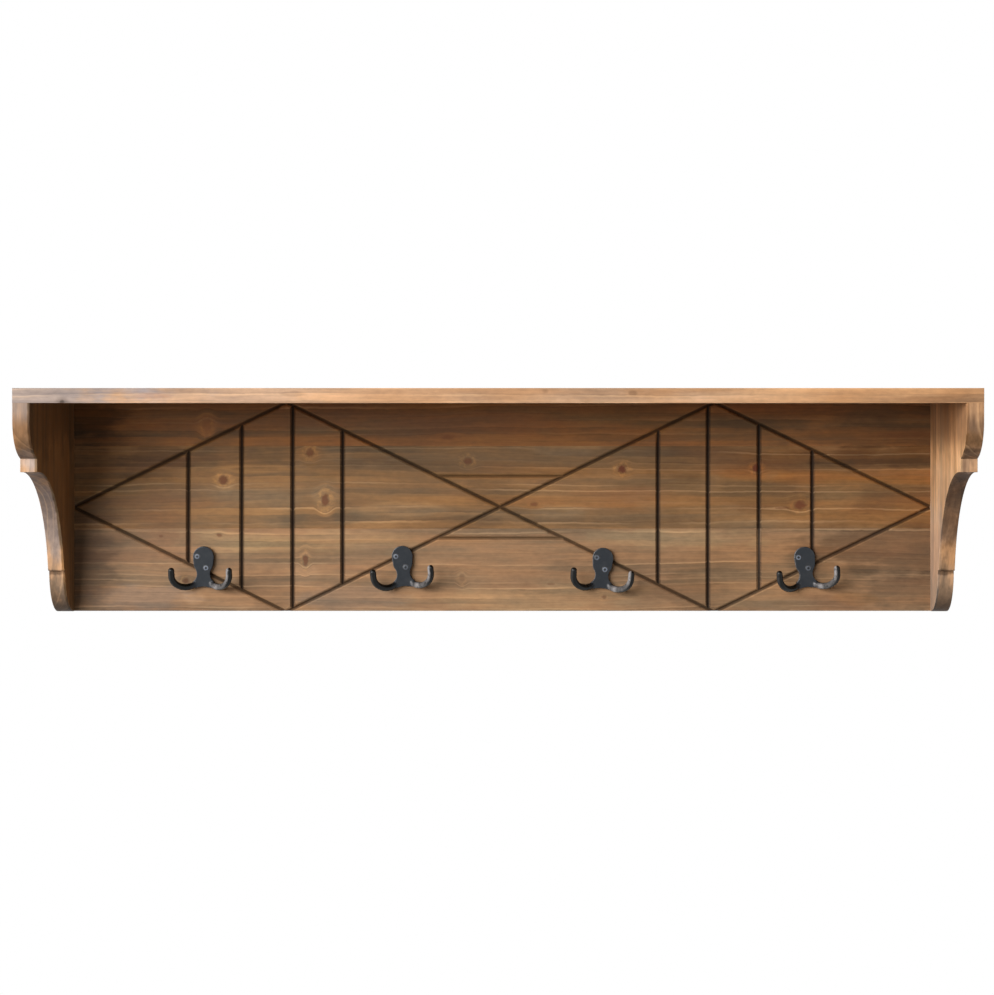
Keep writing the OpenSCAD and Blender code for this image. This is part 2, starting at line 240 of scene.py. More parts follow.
# Layers of noise: how often each turns in a metre along the grain and across it, its detail and roughness.
# Plain layers lie still in the board, and drawn ones follow the grain as it wanders and rounds the knots.
PLAIN_LAYERS = {
    "wander": (2.4, 12, 2, 0.5),
    "ripple": (17, 60, 2, 0.5),
    "cloud": (24, 50, 3, 0.6),
    "mottle": (110, 260, 3, 0.6),
}
DRAWN_LAYERS = {
    "broad": (3.2, 46, 3, 0.6),
    "streak": (8, 170, 3, 0.65),
    "line": (22, 520, 2, 0.6),
    "fibre": (70, 1700, 2, 0.6),
    "reddish": (5, 30, 2, 0.6),
}

# How strongly a layer turns the stain from grey to warm, and how strongly it lightens the wood
TONE_WEIGHTS = {"broad": 3.1, "band": 1.9, "cloud": 1.3, "streak": 0.55}
SHADE_WEIGHTS = {"streak": 0.5, "band": 0.65, "line": 0.26, "fibre": 0.2, "mottle": 0.5}
LIGHT_LINE_SHADE = 0.3
DARK_LINE_SHADE = -0.2
LEAST_SHADE = 0.2

# How far a board's number shifts it in the noise, along, across and through the grain
SEED_STEPS = (3.7, 1.3, 0.7)

# How far the grain wanders and ripples, and how wide and how wavy its rings are
WANDER_REACH = 20 * MM
RIPPLE_REACH = 2.6 * MM
RING_WIDTH = 5.5 * MM
RING_WAVES = 90
RING_WAVE_REACH = 0.25

# How hard a knot pushes the grain, and how ragged its heart, its ring and the patches are
KNOT_PUSH = -0.72
HEART_RAGGED = 1.1
RING_RAGGED = 2.2
PATCH_RAGGED = 1.6
STREAK_RAGGED = 0.5

WOOD_ROUGHNESS = 0.6
WOOD_SPECULAR = 0.2
WOOD_RELIEF = 0.3 * MM
WOOD_BUMP = 0.35


def make_knot_group():
    """One knot: how it leads the growth rings round itself, its dark heart and its broken pale ring."""
    group, tree, given, made = new_group(
        "knot", "ShaderNodeTree",
        {"Place": "Vector", "Centre": "Vector", "Size": "Vector", "Dark": "Float", "Pale": "Float"},
        {"Push": "Float", "Heart": "Float", "Ring": "Float"},
    )
    offset = tree.vector("SUBTRACT", given["Place"], given["Centre"])
    plain_reach = tree.vector("LENGTH", tree.vector("DIVIDE", offset, given["Size"]))
    ragged = tree.centred(tree.noise(given["Place"], 260, 3, 0.62))
    reach = tree.summed(plain_reach, (ragged, HEART_RAGGED))
    ring_reach = tree.summed(plain_reach, (ragged, RING_RAGGED))
    broken = tree.spread(tree.noise(given["Place"], 190), 0.36, 0.66, 0.1, 1)
    ring = tree.times(tree.spread(reach, 0.8, 1.15), tree.spread(ring_reach, 1.0, 2.1, 1, 0), broken)
    near = tree.spread(plain_reach, 0.7, 2.8, 1, 0)
    tree.fill(made, {
        "Push": tree.times(tree.parts(offset)[1], near, KNOT_PUSH),
        "Heart": tree.times(tree.spread(reach, 0.45, 1.05, 1, 0), given["Dark"]),
        "Ring": tree.times(ring, given["Pale"]),
    })
    return group


def make_patch_group():
    """A soft patch of tint, ragged at its edge: the wood's own stains, painted shade and painted light."""
    group, tree, given, made = new_group(
        "grain_patch", "ShaderNodeTree",
        {"Place": "Vector", "Centre": "Vector", "Size": "Vector", "Ragged": "Float", "Amount": "Float"},
        {"Amount": "Float"},
    )
    offset = tree.vector("SUBTRACT", given["Place"], given["Centre"])
    reach = tree.vector("LENGTH", tree.vector("DIVIDE", offset, given["Size"]))
    reach = tree.summed(reach, (given["Ragged"], PATCH_RAGGED))
    tree.fill(made, {"Amount": tree.times(tree.spread(reach, 0.6, 1.25, 1, 0), given["Amount"])})
    return group


def in_grain(axes, place):
    """A place or size in X, Y and Z, put in the order along, across and through the grain."""
    return tuple(place[axis] for axis in axes)


def layers(tree, place, rows):
    """The layers of noise by their names, drawn out along the grain."""
    made = {}
    for name, (along, across, detail, roughness) in rows.items():
        stretched = tree.vector("MULTIPLY", place, (along, across, across))
        made[name] = tree.noise(stretched, 1, detail, roughness)
    return made


def lead_round_knots(tree, push, along, across, axes, knots):
    """What the knots add to the push of the grain, and all their dark hearts and pale rings."""
    place = tree.join(along, across, 0)
    heart = 0.0
    pale_ring = 0.0
    for centre, size, darkness, paleness in knots:
        along_centre, across_centre, _ = in_grain(axes, centre)
        knot = tree.node("ShaderNodeGroup", {
            "Place": place, "Centre": (along_centre, across_centre, 0), "Size": (*size, 1),
            "Dark": darkness, "Pale": paleness,
        }, node_tree=KNOT_GROUP)
        push = tree.plus(push, knot.outputs["Push"])
        heart = tree.math("MAXIMUM", heart, knot.outputs["Heart"])
        pale_ring = tree.math("MAXIMUM", pale_ring, knot.outputs["Ring"])
    return push, heart, pale_ring


def growth_rings(tree, grain, drawn, pith, seed):
    """Rings round a pith that runs behind the face: their light lines, dark lines and bands of tone."""
    along, flow, through = grain
    from_pith = tree.join(0, tree.minus(flow, pith[0]), tree.plus(through, pith[1]))
    rings = tree.math("DIVIDE", tree.vector("LENGTH", from_pith), RING_WIDTH)
    rings = tree.summed(rings, (tree.centred(tree.noise(drawn, RING_WAVES)), RING_WAVE_REACH))
    phase = tree.math("FRACT", rings)
    number = tree.math("FLOOR", rings)

    def noise_in_ring(turns, step):
        """Noise that runs along a ring, and starts elsewhere in the next."""
        return tree.noise(tree.join(tree.times(along, turns), tree.times(number, step), seed), 1)

    swell = noise_in_ring(9, 0.73)
    band = noise_in_ring(4, 0.61)
    lot_place = tree.summed(seed, (number, 1.37))
    lot = tree.result("ShaderNodeTexWhiteNoise", {"W": lot_place}, noise_dimensions="1D")
    light_line = tree.times(
        tree.spread(phase, 0.6, 0.86), tree.spread(phase, 0.88, 1.0, 1, 0),
        tree.spread(swell, 0.36, 0.66), tree.spread(lot, 0.45, 1, 0.12, 1),
    )
    dark_line = tree.times(tree.spread(phase, 0.0, 0.16, 1, 0), tree.spread(swell, 0.6, 0.34, 0.1, 1))
    return light_line, dark_line, band


def lay_patches(tree, colour, place, ragged, axes, patches, mask):
    """Tints a colour with patches, where the mask lets them: the wood's own stains, painted shade and
    painted light.
    """
    for centre, size, tint_key, amount in patches:
        patch = tree.node("ShaderNodeGroup", {
            "Place": place, "Ragged": ragged, "Centre": in_grain(axes, centre), "Size": in_grain(axes, size),
            "Amount": tree.times(mask, amount),
        }, node_tree=PATCH_GROUP)
        colour = tree.tint(patch.outputs["Amount"], colour, tint_key)
    return colour


def darken_grooves(tree, colour, y, facing, sideways):
    """Paints shade deep in the panel's grooves, most on the sideways-facing walls of those that cross the
    grain, and a highlight on their lips.
    """
    depth = tree.minus(y, PANEL_FACE_Y)
    to_room = tree.math("LESS_THAN", facing, -0.3)
    across_grain = tree.spread(sideways, 0.05, 0.55, 0.45, 0.9)
    # Painted highlight: the lips of the grooves are lightened
    lip_highlight = tree.times(tree.spread(depth, 0.05 * MM, 0.3 * MM), tree.spread(depth, 0.5 * MM, 1.1 * MM, 1, 0))
    colour = tree.tint(tree.times(lip_highlight, to_room), colour, "lightened")
    # Painted shade: deep in the grooves the wood turns dark brown, most on walls that face sideways
    groove_shade = tree.times(tree.spread(depth, 0.9 * MM, 2.0 * MM), to_room, across_grain)
    return tree.blend(groove_shade, colour, GROOVE_SHADE_BROWN)


def wood(name, axes, seed, stains, pith, knots=(), patches=(), front_patches=(), grooved=False):
    """Stained softwood in one board's grain space: growth rings, bands, fibres, knots, and patches of the
    wood's own stains and of painted shade and painted light.

    Knots and patches hold their middle and half sizes in the space of the object, in metres. Patches keep
    off the back, and front patches also off the faces that look left, right or up.
    """
    material, tree, shader = new_material(name)
    place = tree.parts(tree.place())
    along, across, through = in_grain(axes, place)
    shift = tuple(seed * step for step in SEED_STEPS)
    plain = tree.vector("ADD", tree.join(along, across, through), shift)
    sideways, facing, upward = tree.parts(tree.node("ShaderNodeNewGeometry").outputs["True Normal"])
    sideways = tree.math("ABSOLUTE", sideways)
    quiet = tree.spread(sideways, 0.8, 0.95, 1, 0.45)

    # How the grain wanders, and what the knots push aside
    noise = layers(tree, plain, PLAIN_LAYERS)
    push = tree.times(tree.centred(noise["ripple"]), RIPPLE_REACH)
    push = tree.summed(push, (tree.centred(noise["wander"]), WANDER_REACH))
    push, heart, pale_ring = lead_round_knots(tree, push, along, across, axes, knots)
    flow = tree.plus(across, push)
    flowing = tree.join(along, flow, through)
    drawn = tree.vector("ADD", flowing, shift)
    light_line, dark_line, band = growth_rings(tree, (along, flow, through), drawn, pith, seed)
    light_line = tree.times(light_line, quiet)
    noise |= layers(tree, drawn, DRAWN_LAYERS)
    noise["band"] = band
    swing = {key: tree.centred(noise[key]) for key in TONE_WEIGHTS | SHADE_WEIGHTS}
    swing["line"] = tree.times(swing["line"], quiet)

    # The stain, and patches over it of the wood's own tones and of painted shade and light
    tone = tree.summed(0.5, *((swing[key], weight) for key, weight in TONE_WEIGHTS.items()))
    tone = tree.math("MAXIMUM", tree.math("MINIMUM", tone, 1), 0)
    warm, grey, red = stains
    colour = tree.blend(tone, grey, warm)
    colour = tree.blend(tree.spread(noise["reddish"], 0.5, 0.72, 0, 0.5), colour, red)
    ragged = tree.summed(swing["cloud"], (swing["streak"], STREAK_RAGGED))
    off_back = tree.spread(facing, 0.3, 0.8, 1, 0)
    off_sides = tree.spread(sideways, 0.6, 0.95, 1, 0)
    off_top = tree.spread(upward, 0.6, 0.95, 1, 0)
    on_front = tree.times(off_back, off_sides, off_top)
    colour = lay_patches(tree, colour, flowing, ragged, axes, patches, off_back)
    colour = lay_patches(tree, colour, flowing, ragged, axes, front_patches, on_front)
    along_normal = tree.parts(tree.node("ShaderNodeNewGeometry").outputs["Normal"])[axes[0]]
    colour = tree.tint(tree.spread(tree.math("ABSOLUTE", along_normal), 0.2, 0.85), colour, "end")

    # Light and dark in the grain, lightened rims, knots, and the grooves' painted shade and highlight
    shade = tree.summed(1, *((swing[key], weight) for key, weight in SHADE_WEIGHTS.items()))
    shade = tree.summed(shade, (dark_line, DARK_LINE_SHADE), (light_line, LIGHT_LINE_SHADE))
    colour = tree.scaled(colour, tree.math("MAXIMUM", shade, LEAST_SHADE))
    colour = tree.blend(tree.times(light_line, 0.25), colour, PALE_LINE)
    lightened = tree.times(tree.attribute("rim"), tree.spread(noise["cloud"], 0.35, 0.65, 0.1, 1))
    colour = tree.tint(lightened, colour, "lightened")
    colour = tree.tint(pale_ring, colour, "glow")
    colour = tree.blend(heart, colour, KNOT_BROWN)
    if grooved:
        colour = darken_grooves(tree, colour, place[1], facing, sideways)

    height = tree.summed(noise["line"], (noise["fibre"], 0.4), (light_line, 0.7))
    tree.fill(shader, {
        "Base Color": colour,
        "Roughness": tree.summed(WOOD_ROUGHNESS, (light_line, -0.1), (swing["mottle"], 0.3)),
        "Specular IOR Level": WOOD_SPECULAR,
        "Normal": tree.bump(height, WOOD_RELIEF, WOOD_BUMP),
    })
    return material


KNOT_GROUP = make_knot_group()
PATCH_GROUP = make_patch_group()


# What shows on the boards, at pixels of the photograph

# How deep a patch and a mark go into the shelf's edge, and a patch into a bracket in mm, all as half sizes
PATCH_DEPTH = 16 * MM
MARK_DEPTH = 4 * MM
RIGHT_THROUGH = 1000
SKIN = 2.5


def on_panel(pixel_x, pixel_y):
    """Where a pixel of the photograph lies on the panel's face."""
    x, z = seen_at(pixel_x, pixel_y, PANEL_FACE_Y)
    return (x, PANEL_FACE_Y, z)


def panel_knot(pixel_x, pixel_y, wide, high, dark, pale):
    """A knot on the panel, by its middle, half width and half height."""
    return (on_panel(pixel_x, pixel_y), (wide * PANEL_SCALE, high * PANEL_SCALE), dark, pale)


def panel_patch(left, right, top, bottom, tint_key, amount):
    """A patch right through the panel, by its left, right, top and bottom."""
    centre = on_panel((left + right) / 2, (top + bottom) / 2)
    size = ((right - left) / 2 * PANEL_SCALE, 1, (bottom - top) / 2 * PANEL_SCALE)
    return (centre, size, tint_key, amount)


def shelf_patch(left, right, tint_key, amount):
    """A patch along the front of the shelf board, between two pixels of its edge."""
    low, high = (seen_at(pixel, VANISHING_Y, FRONT_Y)[0] for pixel in (left, right))
    return (((low + high) / 2, FRONT_Y, 0), ((high - low) / 2, PATCH_DEPTH, 1), tint_key, amount)


def edge_mark(pixel_x, pixel_y, wide, high, tint_key, amount):
    """A small mark on the front edge of the shelf, by its middle, half width and half height."""
    x, z = seen_at(pixel_x, pixel_y, FRONT_Y)
    return ((x, FRONT_Y, z), (wide * EDGE_SCALE, MARK_DEPTH, high * EDGE_SCALE), tint_key, amount)


def bracket_patch(top, bottom, tint_key, amount, x=0, thick=RIGHT_THROUGH):
    """A patch between two depths under the top of the shelf, in mm, through a bracket or about one X."""
    centre = (x, FRONT_Y / 2, SHELF_HIGH.z - (top + bottom) / 2 * MM)
    return (centre, (thick * MM, 1, (bottom - top) / 2 * MM), tint_key, amount)


# Knots: middle, half width, half height, darkness and paleness. Patches of the panel: left, right, top,
# bottom, tint and how much of it. The dark and deep patches under the shelf and at the ends by the brackets
# are painted shade, the full patches painted light and the pink ones a painted pale sheen.
UPPER_KNOTS = (
    (207, 426, 5, 8, 0.15, 0.5),
    (448, 437, 8, 3, 0.35, 0.0),
)
# Under the shelf the deep and dark patches are painted shade
UPPER_PATCHES = (
    (40, 126, 390, 436, "deep", 0.75),
    (20, 130, 420, 450, "dark", 0.5),
    (130, 260, 418, 432, "red", 0.4),
    (190, 242, 428, 450, "grey", 1.0),
    (280, 610, 398, 432, "pale", 0.3),
    (600, 716, 398, 416, "dark", 0.25),
    (655, 715, 416, 444, "pale", 0.35),
    (196, 218, 408, 436, "pale", 0.4),
    (345, 560, 432, 447, "grey", 0.2),
    (480, 700, 410, 445, "orange", 0.7),
    (470, 640, 405, 446, "pale", 0.3),
    (245, 292, 422, 430, "orange", 0.5),
    (280, 345, 432, 452, "orange", 0.3),
    (300, 345, 420, 446, "pale", 0.2),
    (700, 1000, 398, 420, "red", 0.6),
    (700, 850, 398, 430, "dark", 0.35),
    (800, 1000, 424, 450, "dark", 0.6),
    (360, 520, 400, 412, "orange", 0.4),
)
MIDDLE_KNOTS = (
    (223.5, 480, 6, 5.4, 0.75, 0.8),
    (310, 453, 4.8, 5.2, 0.6, 1.0),
    (325, 500, 4.8, 8, 0.7, 1.0),
    (468, 461, 5.2, 4.8, 0.6, 1.0),
    (622, 469, 5.6, 5.0, 0.95, 0.9),
    (534, 504.5, 5, 2.4, 0.5, 0.2),
    (756.5, 468, 4.8, 4.6, 0.9, 1.0),
    (800, 505, 7, 5.5, 0.75, 0.6),
    (782, 508, 9, 1.4, 0.5, 0.0),
)
# The dark patches along the top and at both ends are painted shade
MIDDLE_PATCHES = (
    (20, 1050, 440, 474, "dark", 0.4),
    (20, 140, 446, 480, "dark", 0.3),
    (116, 192, 441, 482, "dark", 0.7),
    (60, 115, 496, 532, "dark", 0.6),
    (60, 200, 476, 497, "amber", 0.4),
    (640, 1300, 440, 540, "orange", 0.75),
    (205, 300, 466, 477, "pale", 0.9),
    (205, 300, 466, 477, "orange", 0.7),
    (186, 222, 448, 476, "grey", 0.8),
    (120, 345, 482, 508, "pale", 0.4),
    (196, 250, 484, 502, "pale", 0.3),
    (242, 294, 492, 530, "pale", 0.4),
    (212, 238, 468, 494, "pale", 0.4),
    (240, 294, 446, 465, "grey", 0.7),
    (294, 322, 440, 464, "orange", 0.5),
    (296, 348, 440, 478, "pale", 0.45),
    (308, 345, 464, 482, "orange", 0.6),
    (290, 350, 478, 492, "grey", 0.8),
    (312, 340, 484, 516, "pale", 0.5),
    (280, 312, 508, 530, "grey", 0.7),
    (330, 360, 504, 530, "grey", 0.7),
    (330, 440, 446, 456, "grey", 0.5),
    (350, 660, 443, 468, "pale", 0.5),
    (515, 600, 438, 456, "pale", 0.8),
    (350, 580, 462, 475, "orange", 0.35),
    (400, 640, 497, 514, "orange", 0.5),
    (350, 460, 506, 520, "pale", 0.75),
    (380, 520, 520, 534, "dark", 0.7),
    (460, 520, 482, 510, "dark", 0.4),
    (460, 520, 494, 506, "grey", 0.5),
    (525, 600, 506, 520, "pale", 0.7),
    (540, 700, 518, 530, "dark", 0.25),
    (600, 712, 446, 460, "grey", 0.3),
    (655, 712, 452, 480, "dark", 0.4),
    (705, 768, 444, 463, "grey", 0.45),
    (710, 815, 482, 519, "dark", 0.35),
    (710, 815, 520, 531, "pale", 0.6),
    (705, 790, 466, 480, "orange", 0.6),
    (760, 815, 446, 466, "dark", 0.35),
    (770, 870, 470, 484, "orange", 0.6),
    (840, 990, 474, 484, "orange", 0.75),
    (810, 1000, 440, 466, "dark", 0.9),
    (815, 862, 488, 514, "pale", 0.35),
    (855, 980, 484, 530, "dark", 0.55),
    (810, 880, 514, 531, "dark", 0.4),
    (870, 990, 515, 530, "grey", 0.6),
)
LOWER_KNOTS = (
    (219.5, 535, 3.4, 2.2, 0.6, 0.0),
    (161, 536, 2.8, 1.7, 0.5, 0.0),
    (305.5, 560, 3.2, 7, 0.6, 0.7),
    (186, 581, 4.2, 3.2, 0.55, 0.9),
    (604, 597, 3, 2.2, 0.45, 0.3),
    (462, 578, 3, 5, 0.15, 0.4),
    (551, 584, 5, 1.3, 0.35, 0.0),
)
# The dark patches at both ends are painted shade, the full ones painted light and the pink ones a painted
# sheen
LOWER_PATCHES = (
    (20, 175, 538, 570, "grey", 0.8),
    (40, 122, 526, 616, "dark", 0.85),
    (140, 420, 526, 552, "full", 0.55),
    (190, 292, 528, 548, "full", 0.35),
    (590, 760, 526, 548, "full", 0.7),
    (244, 294, 562, 616, "dark", 0.4),
    (655, 718, 572, 616, "dark", 0.45),
    (90, 190, 584, 614, "pink", 0.5),
    (235, 360, 530, 562, "orange", 0.35),
    (290, 320, 563, 586, "pale", 0.35),
    (345, 500, 529, 545, "orange", 0.25),
    (182, 204, 588, 608, "pale", 0.6),
    (295, 410, 585, 614, "pink", 0.3),
    (410, 640, 582, 614, "full", 0.55),
    (580, 770, 550, 576, "dark", 0.3),
    (650, 870, 530, 610, "orange", 0.3),
    (808, 856, 526, 548, "grey", 0.7),
    (800, 1010, 520, 580, "dark", 0.95),
    (840, 990, 540, 614, "grey", 0.7),
    (735, 840, 588, 612, "pale", 0.25),
    (830, 880, 594, 610, "orange", 0.5),
    (855, 990, 570, 616, "dark", 0.5),
)

# Left, right, tint and how much of it; marks on the shelf's edge have a middle and half sizes as knots do.
# The pink patches on the left paint a pale sheen.
SHELF_PATCHES = (
    (-160, 150, "pink", 1.0),
    (-160, 100, "dark", 0.16),
    (90, 320, "pink", 0.2),
    (110, 320, "pale", 0.3),
    (395, 600, "pale", 0.35),
    (570, 820, "pale", 0.7),
    (650, 1300, "orange", 0.55),
)
EDGE_MARKS = (
    (62, 401, 9, 4, "dark", 0.7),
    (62, 402, 3, 3, "deep", 0.9),
    (295, 394, 12, 3, "dark", 0.5),
    (545, 391, 5, 3, "dark", 0.7),
    (633, 393, 5, 3, "dark", 0.7),
    (152, 396, 20, 3, "red", 0.5),
)

# Patches of the brackets, on their fronts and on their inner faces: top and bottom in mm under the top of
# the shelf, tint and how much of it. On the fronts, dark over the ovolos and coves and deep under each
# foot's step and the right fillet are painted shade, pale on the left cove painted light, and pink a painted
# pale sheen
LEFT_FRONT = (
    (-20, 33, "pink", 0.9),
    (27, 61, "dark", 0.6),
    (22, 44, "dark", 0.4),
    (30, 61, "amber", 0.4),
    (58, 78, "pink", 0.6),
    (58, 78, "pale", 0.4),
    (78, 175, "pink", 0.8),
    (64, 112, "pale", 0.7),
    (179, 262, "slate", 1.0),
    (181.5, 188, "deep", 0.8),
)
# The deep and dark patches are painted shade, over the whole inner face and under the shelf
LEFT_INSIDE = (
    (-200, 500, "deep", 0.8),
    (-200, 500, "amber", 0.9),
    (-60, 60, "dark", 0.7),
)
RIGHT_FRONT = (
    (-20, 33, "orange", 0.4),
    (-20, 33, "dark", 0.45),
    (22, 61, "dark", 1.0),
    (40, 60, "amber", 0.6),
    (30, 58, "dark", 0.3),
    (60, 76, "dark", 0.15),
    (76, 160, "dark", 1.0),
    (76, 120, "dark", 0.4),
    (120, 166, "dark", 0.6),
    (150, 184, "orange", 0.7),
    (179, 262, "slate", 0.85),
    (181.5, 188, "deep", 0.8),
    (56, 62, "deep", 0.6),
)
# Dark under the shelf is painted shade; pale and full are painted light, and pink a painted sheen on this
# lit face
RIGHT_INSIDE = (
    (-40, 60, "dark", 0.8),
    (-30, 80, "orange", 0.5),
    (50, 90, "pale", 0.4),
    (50, 150, "full", 0.5),
    (110, 250, "pink", 0.35),
    (190, 260, "grey", 0.9),
)


# The material of each board

def panel_wood(name, seed, stains, pith, knots, patches):
    """One stained board of the panel, with knots, grooves, and patches of tint, painted shade and painted
    light.
    """
    return wood(
        name, ALONG_PANEL, seed, stains, pith, knots=[panel_knot(*row) for row in knots],
        patches=[panel_patch(*row) for row in patches], grooved=True,
    )


def bracket_wood(name, seed, pith, front, inner, inner_x):
    """A stained bracket, with patches of tint, painted shade and painted light on its front and on its inner
    face at an X.
    """
    return wood(
        name, UP_BRACKET, seed, CARCASS_STAINS, pith,
        patches=[bracket_patch(*row, inner_x, SKIN) for row in inner],
        front_patches=[bracket_patch(*row) for row in front],
    )


def shelf_wood():
    """The stained shelf board, with patches and marks along its front edge; the pink patches are a painted
    sheen.
    """
    marks = [shelf_patch(*row) for row in SHELF_PATCHES] + [edge_mark(*row) for row in EDGE_MARKS]
    return wood("shelf_fir", ALONG_SHELF, 4, CARCASS_STAINS, (-0.09, 0.07), front_patches=marks)


# A pith is given by its place across the grain and its depth behind the face, in metres
MATERIALS = {
    "back_board_upper": panel_wood(
        "upper_board_fir", 1, UPPER_STAINS, (0.055, 0.05), UPPER_KNOTS, UPPER_PATCHES),
    "back_board_middle": panel_wood(
        "middle_board_fir", 2, MIDDLE_STAINS, (-0.150, 0.06), MIDDLE_KNOTS, MIDDLE_PATCHES),
    "back_board_lower": panel_wood(
        "lower_board_fir", 3, LOWER_STAINS, (-0.065, 0.05), LOWER_KNOTS, LOWER_PATCHES),
    "shelf_board": shelf_wood(),
    "left_bracket": bracket_wood(
        "left_bracket_fir", 5, (-0.08, 0.5), LEFT_FRONT, LEFT_INSIDE, PANEL_LOW.x),
    "right_bracket": bracket_wood(
        "right_bracket_fir", 6, (-0.08, -0.39), RIGHT_FRONT, RIGHT_INSIDE, PANEL_HIGH.x),
}


# Meshes and objects

MERGE_DISTANCE = 0.002 * MM
FLAT_ANGLE = math.radians(0.5)
SHARP_ANGLE = math.radians(35)


def merged_mesh(node):
    """A copy of a CAD node's mesh with its loose triangles joined and its flat faces made whole."""
    shape = bmesh.new()
    shape.from_mesh(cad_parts[node].data)
    bmesh.ops.remove_doubles(shape, verts=shape.verts, dist=MERGE_DISTANCE)
    bmesh.ops.dissolve_limit(
        shape, angle_limit=FLAT_ANGLE, verts=shape.verts, edges=shape.edges, use_dissolve_boundaries=False,
    )
    return shape


def middle(edge):
    return (edge.verts[0].co + edge.verts[1].co) / 2


def bevelled(shape, wanted, width, segments, least_degrees):
    """Rounds the wanted sharp edges, and marks the new faces as a rim, which the finishes lighten."""
    rim = shape.faces.layers.float.get("rim") or shape.faces.layers.float.new("rim")
    edges = [
        edge for edge in shape.edges
        if len(edge.link_faces) == 2
        and edge.calc_face_angle(0) > math.radians(least_degrees)
        and wanted(edge)
    ]
    rounded = bmesh.ops.bevel(
        shape, geom=edges, offset=width, offset_type="OFFSET", segments=segments,
        profile=0.5, affect="EDGES", clamp_overlap=True,
    )
    for face in rounded["faces"]:
        face[rim] = 1


def mesh_from(shape, name):
    mesh = bpy.data.meshes.new(name)
    shape.to_mesh(mesh)
    shape.free()
    return mesh


def smoothed(mesh, sharp_angle=SHARP_ANGLE):
    """Smooth shading, broken where faces meet at more than an angle."""
    mesh.shade_smooth()
    mesh.set_sharp_from_angle(angle=sharp_angle)
    return mesh


def new_object(name, data):
    """An object in the scene with a mesh, a lamp or a camera in it."""
    thing = bpy.data.objects.new(name, data)
    bpy.context.scene.collection.objects.link(thing)
    return thing


def settled(thing):
    """Runs the modifiers of an object into a plain mesh and takes them off."""
    graph = bpy.context.evaluated_depsgraph_get()
    mesh = bpy.data.meshes.new_from_object(thing.evaluated_get(graph), depsgraph=graph)
    thing.modifiers.clear()
    thing.data = mesh
    return thing


def mesh_out(thing):
    """Takes the mesh out of an object, and the object out of the scene."""
    mesh = thing.data
    bpy.data.objects.remove(thing)
    return mesh


def add_piece(name, mesh, material, node):
    """Makes a finished object from a mesh, riding on the root body in place of a CAD node."""
    mesh.name = name
    mesh.materials.clear()
    mesh.materials.append(material)
    piece = new_object(name, mesh)
    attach(piece, "root")
    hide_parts(node)


# Boards and brackets

OUTER_ARRIS = 1.6 * MM
BRACKET_ARRIS = 1 * MM
SEAM_ARRIS = 0.25 * MM
ARRIS_SEGMENTS = 3
SEAM_SEGMENTS = 1
PANEL_LEAST_DEGREES = 40
CARCASS_LEAST_DEGREES = 50
JOINT_REACH = 0.6 * MM
LONG_EDGE = 20 * MM
LEVEL_WITHIN = 0.01 * MM
BRACKET_BACK = 10 * MM


def at_height(edge, height):
    return abs(middle(edge).z - height) < JOINT_REACH


def panel_board(node):
    """One board of the panel, with its seams to the other boards just eased."""
    shape = merged_mesh(node)

    def long_edge(edge):
        on_face = any(abs(middle(edge).y - face) < JOINT_REACH for face in (PANEL_FACE_Y, 0))
        level = abs(edge.verts[0].co.z - edge.verts[1].co.z) < LEVEL_WITHIN
        return on_face and level and edge.calc_length() > LONG_EDGE

    def at_bottom(edge):
        return long_edge(edge) and at_height(edge, PANEL_BOTTOM_Z)

    def at_seam(edge):
        return long_edge(edge) and any(at_height(edge, seam) for seam in (MIDDLE_LOW.z, MIDDLE_HIGH.z))

    bevelled(shape, at_bottom, OUTER_ARRIS, ARRIS_SEGMENTS, PANEL_LEAST_DEGREES)
    bevelled(shape, at_seam, SEAM_ARRIS, SEAM_SEGMENTS, PANEL_LEAST_DEGREES)
    mesh = mesh_from(shape, node + "_wood")
    add_piece(node + "_wood", mesh, MATERIALS[node], node)


def shelf_edge(edge):
    """An edge of the shelf board that is neither at the wall nor over a bracket."""
    x, y, _ = middle(edge)
    over_bracket = at_height(edge, SHELF_UNDERSIDE_Z) and abs(x) > PANEL_HIGH.x
    return abs(y) >= JOINT_REACH and not over_bracket


def bracket_edge(edge):
    """An edge of a bracket that is neither near the wall nor under the shelf board."""
    return abs(middle(edge).y) > BRACKET_BACK and not at_height(edge, SHELF_UNDERSIDE_Z)


def carcass_piece(node, outside, arris):
    """The shelf board or a bracket, with eased arrises where no other piece meets it."""
    shape = merged_mesh(node)
    bevelled(shape, outside, arris, ARRIS_SEGMENTS, CARCASS_LEAST_DEGREES)
    piece = new_object(node + "_wood", smoothed(mesh_from(shape, node + "_wood")))
    modifier = piece.modifiers.new("flat faces", "WEIGHTED_NORMAL")
    modifier.keep_sharp = True
    add_piece(node + "_wood", mesh_out(settled(piece)), MATERIALS[node], node)


for board in ("back_board_upper", "back_board_middle", "back_board_lower"):
    panel_board(board)
carcass_piece("shelf_board", shelf_edge, OUTER_ARRIS)
for bracket in ("left_bracket", "right_bracket"):
    carcass_piece(bracket, bracket_edge, BRACKET_ARRIS)


# Finishes of the metal and the dowels

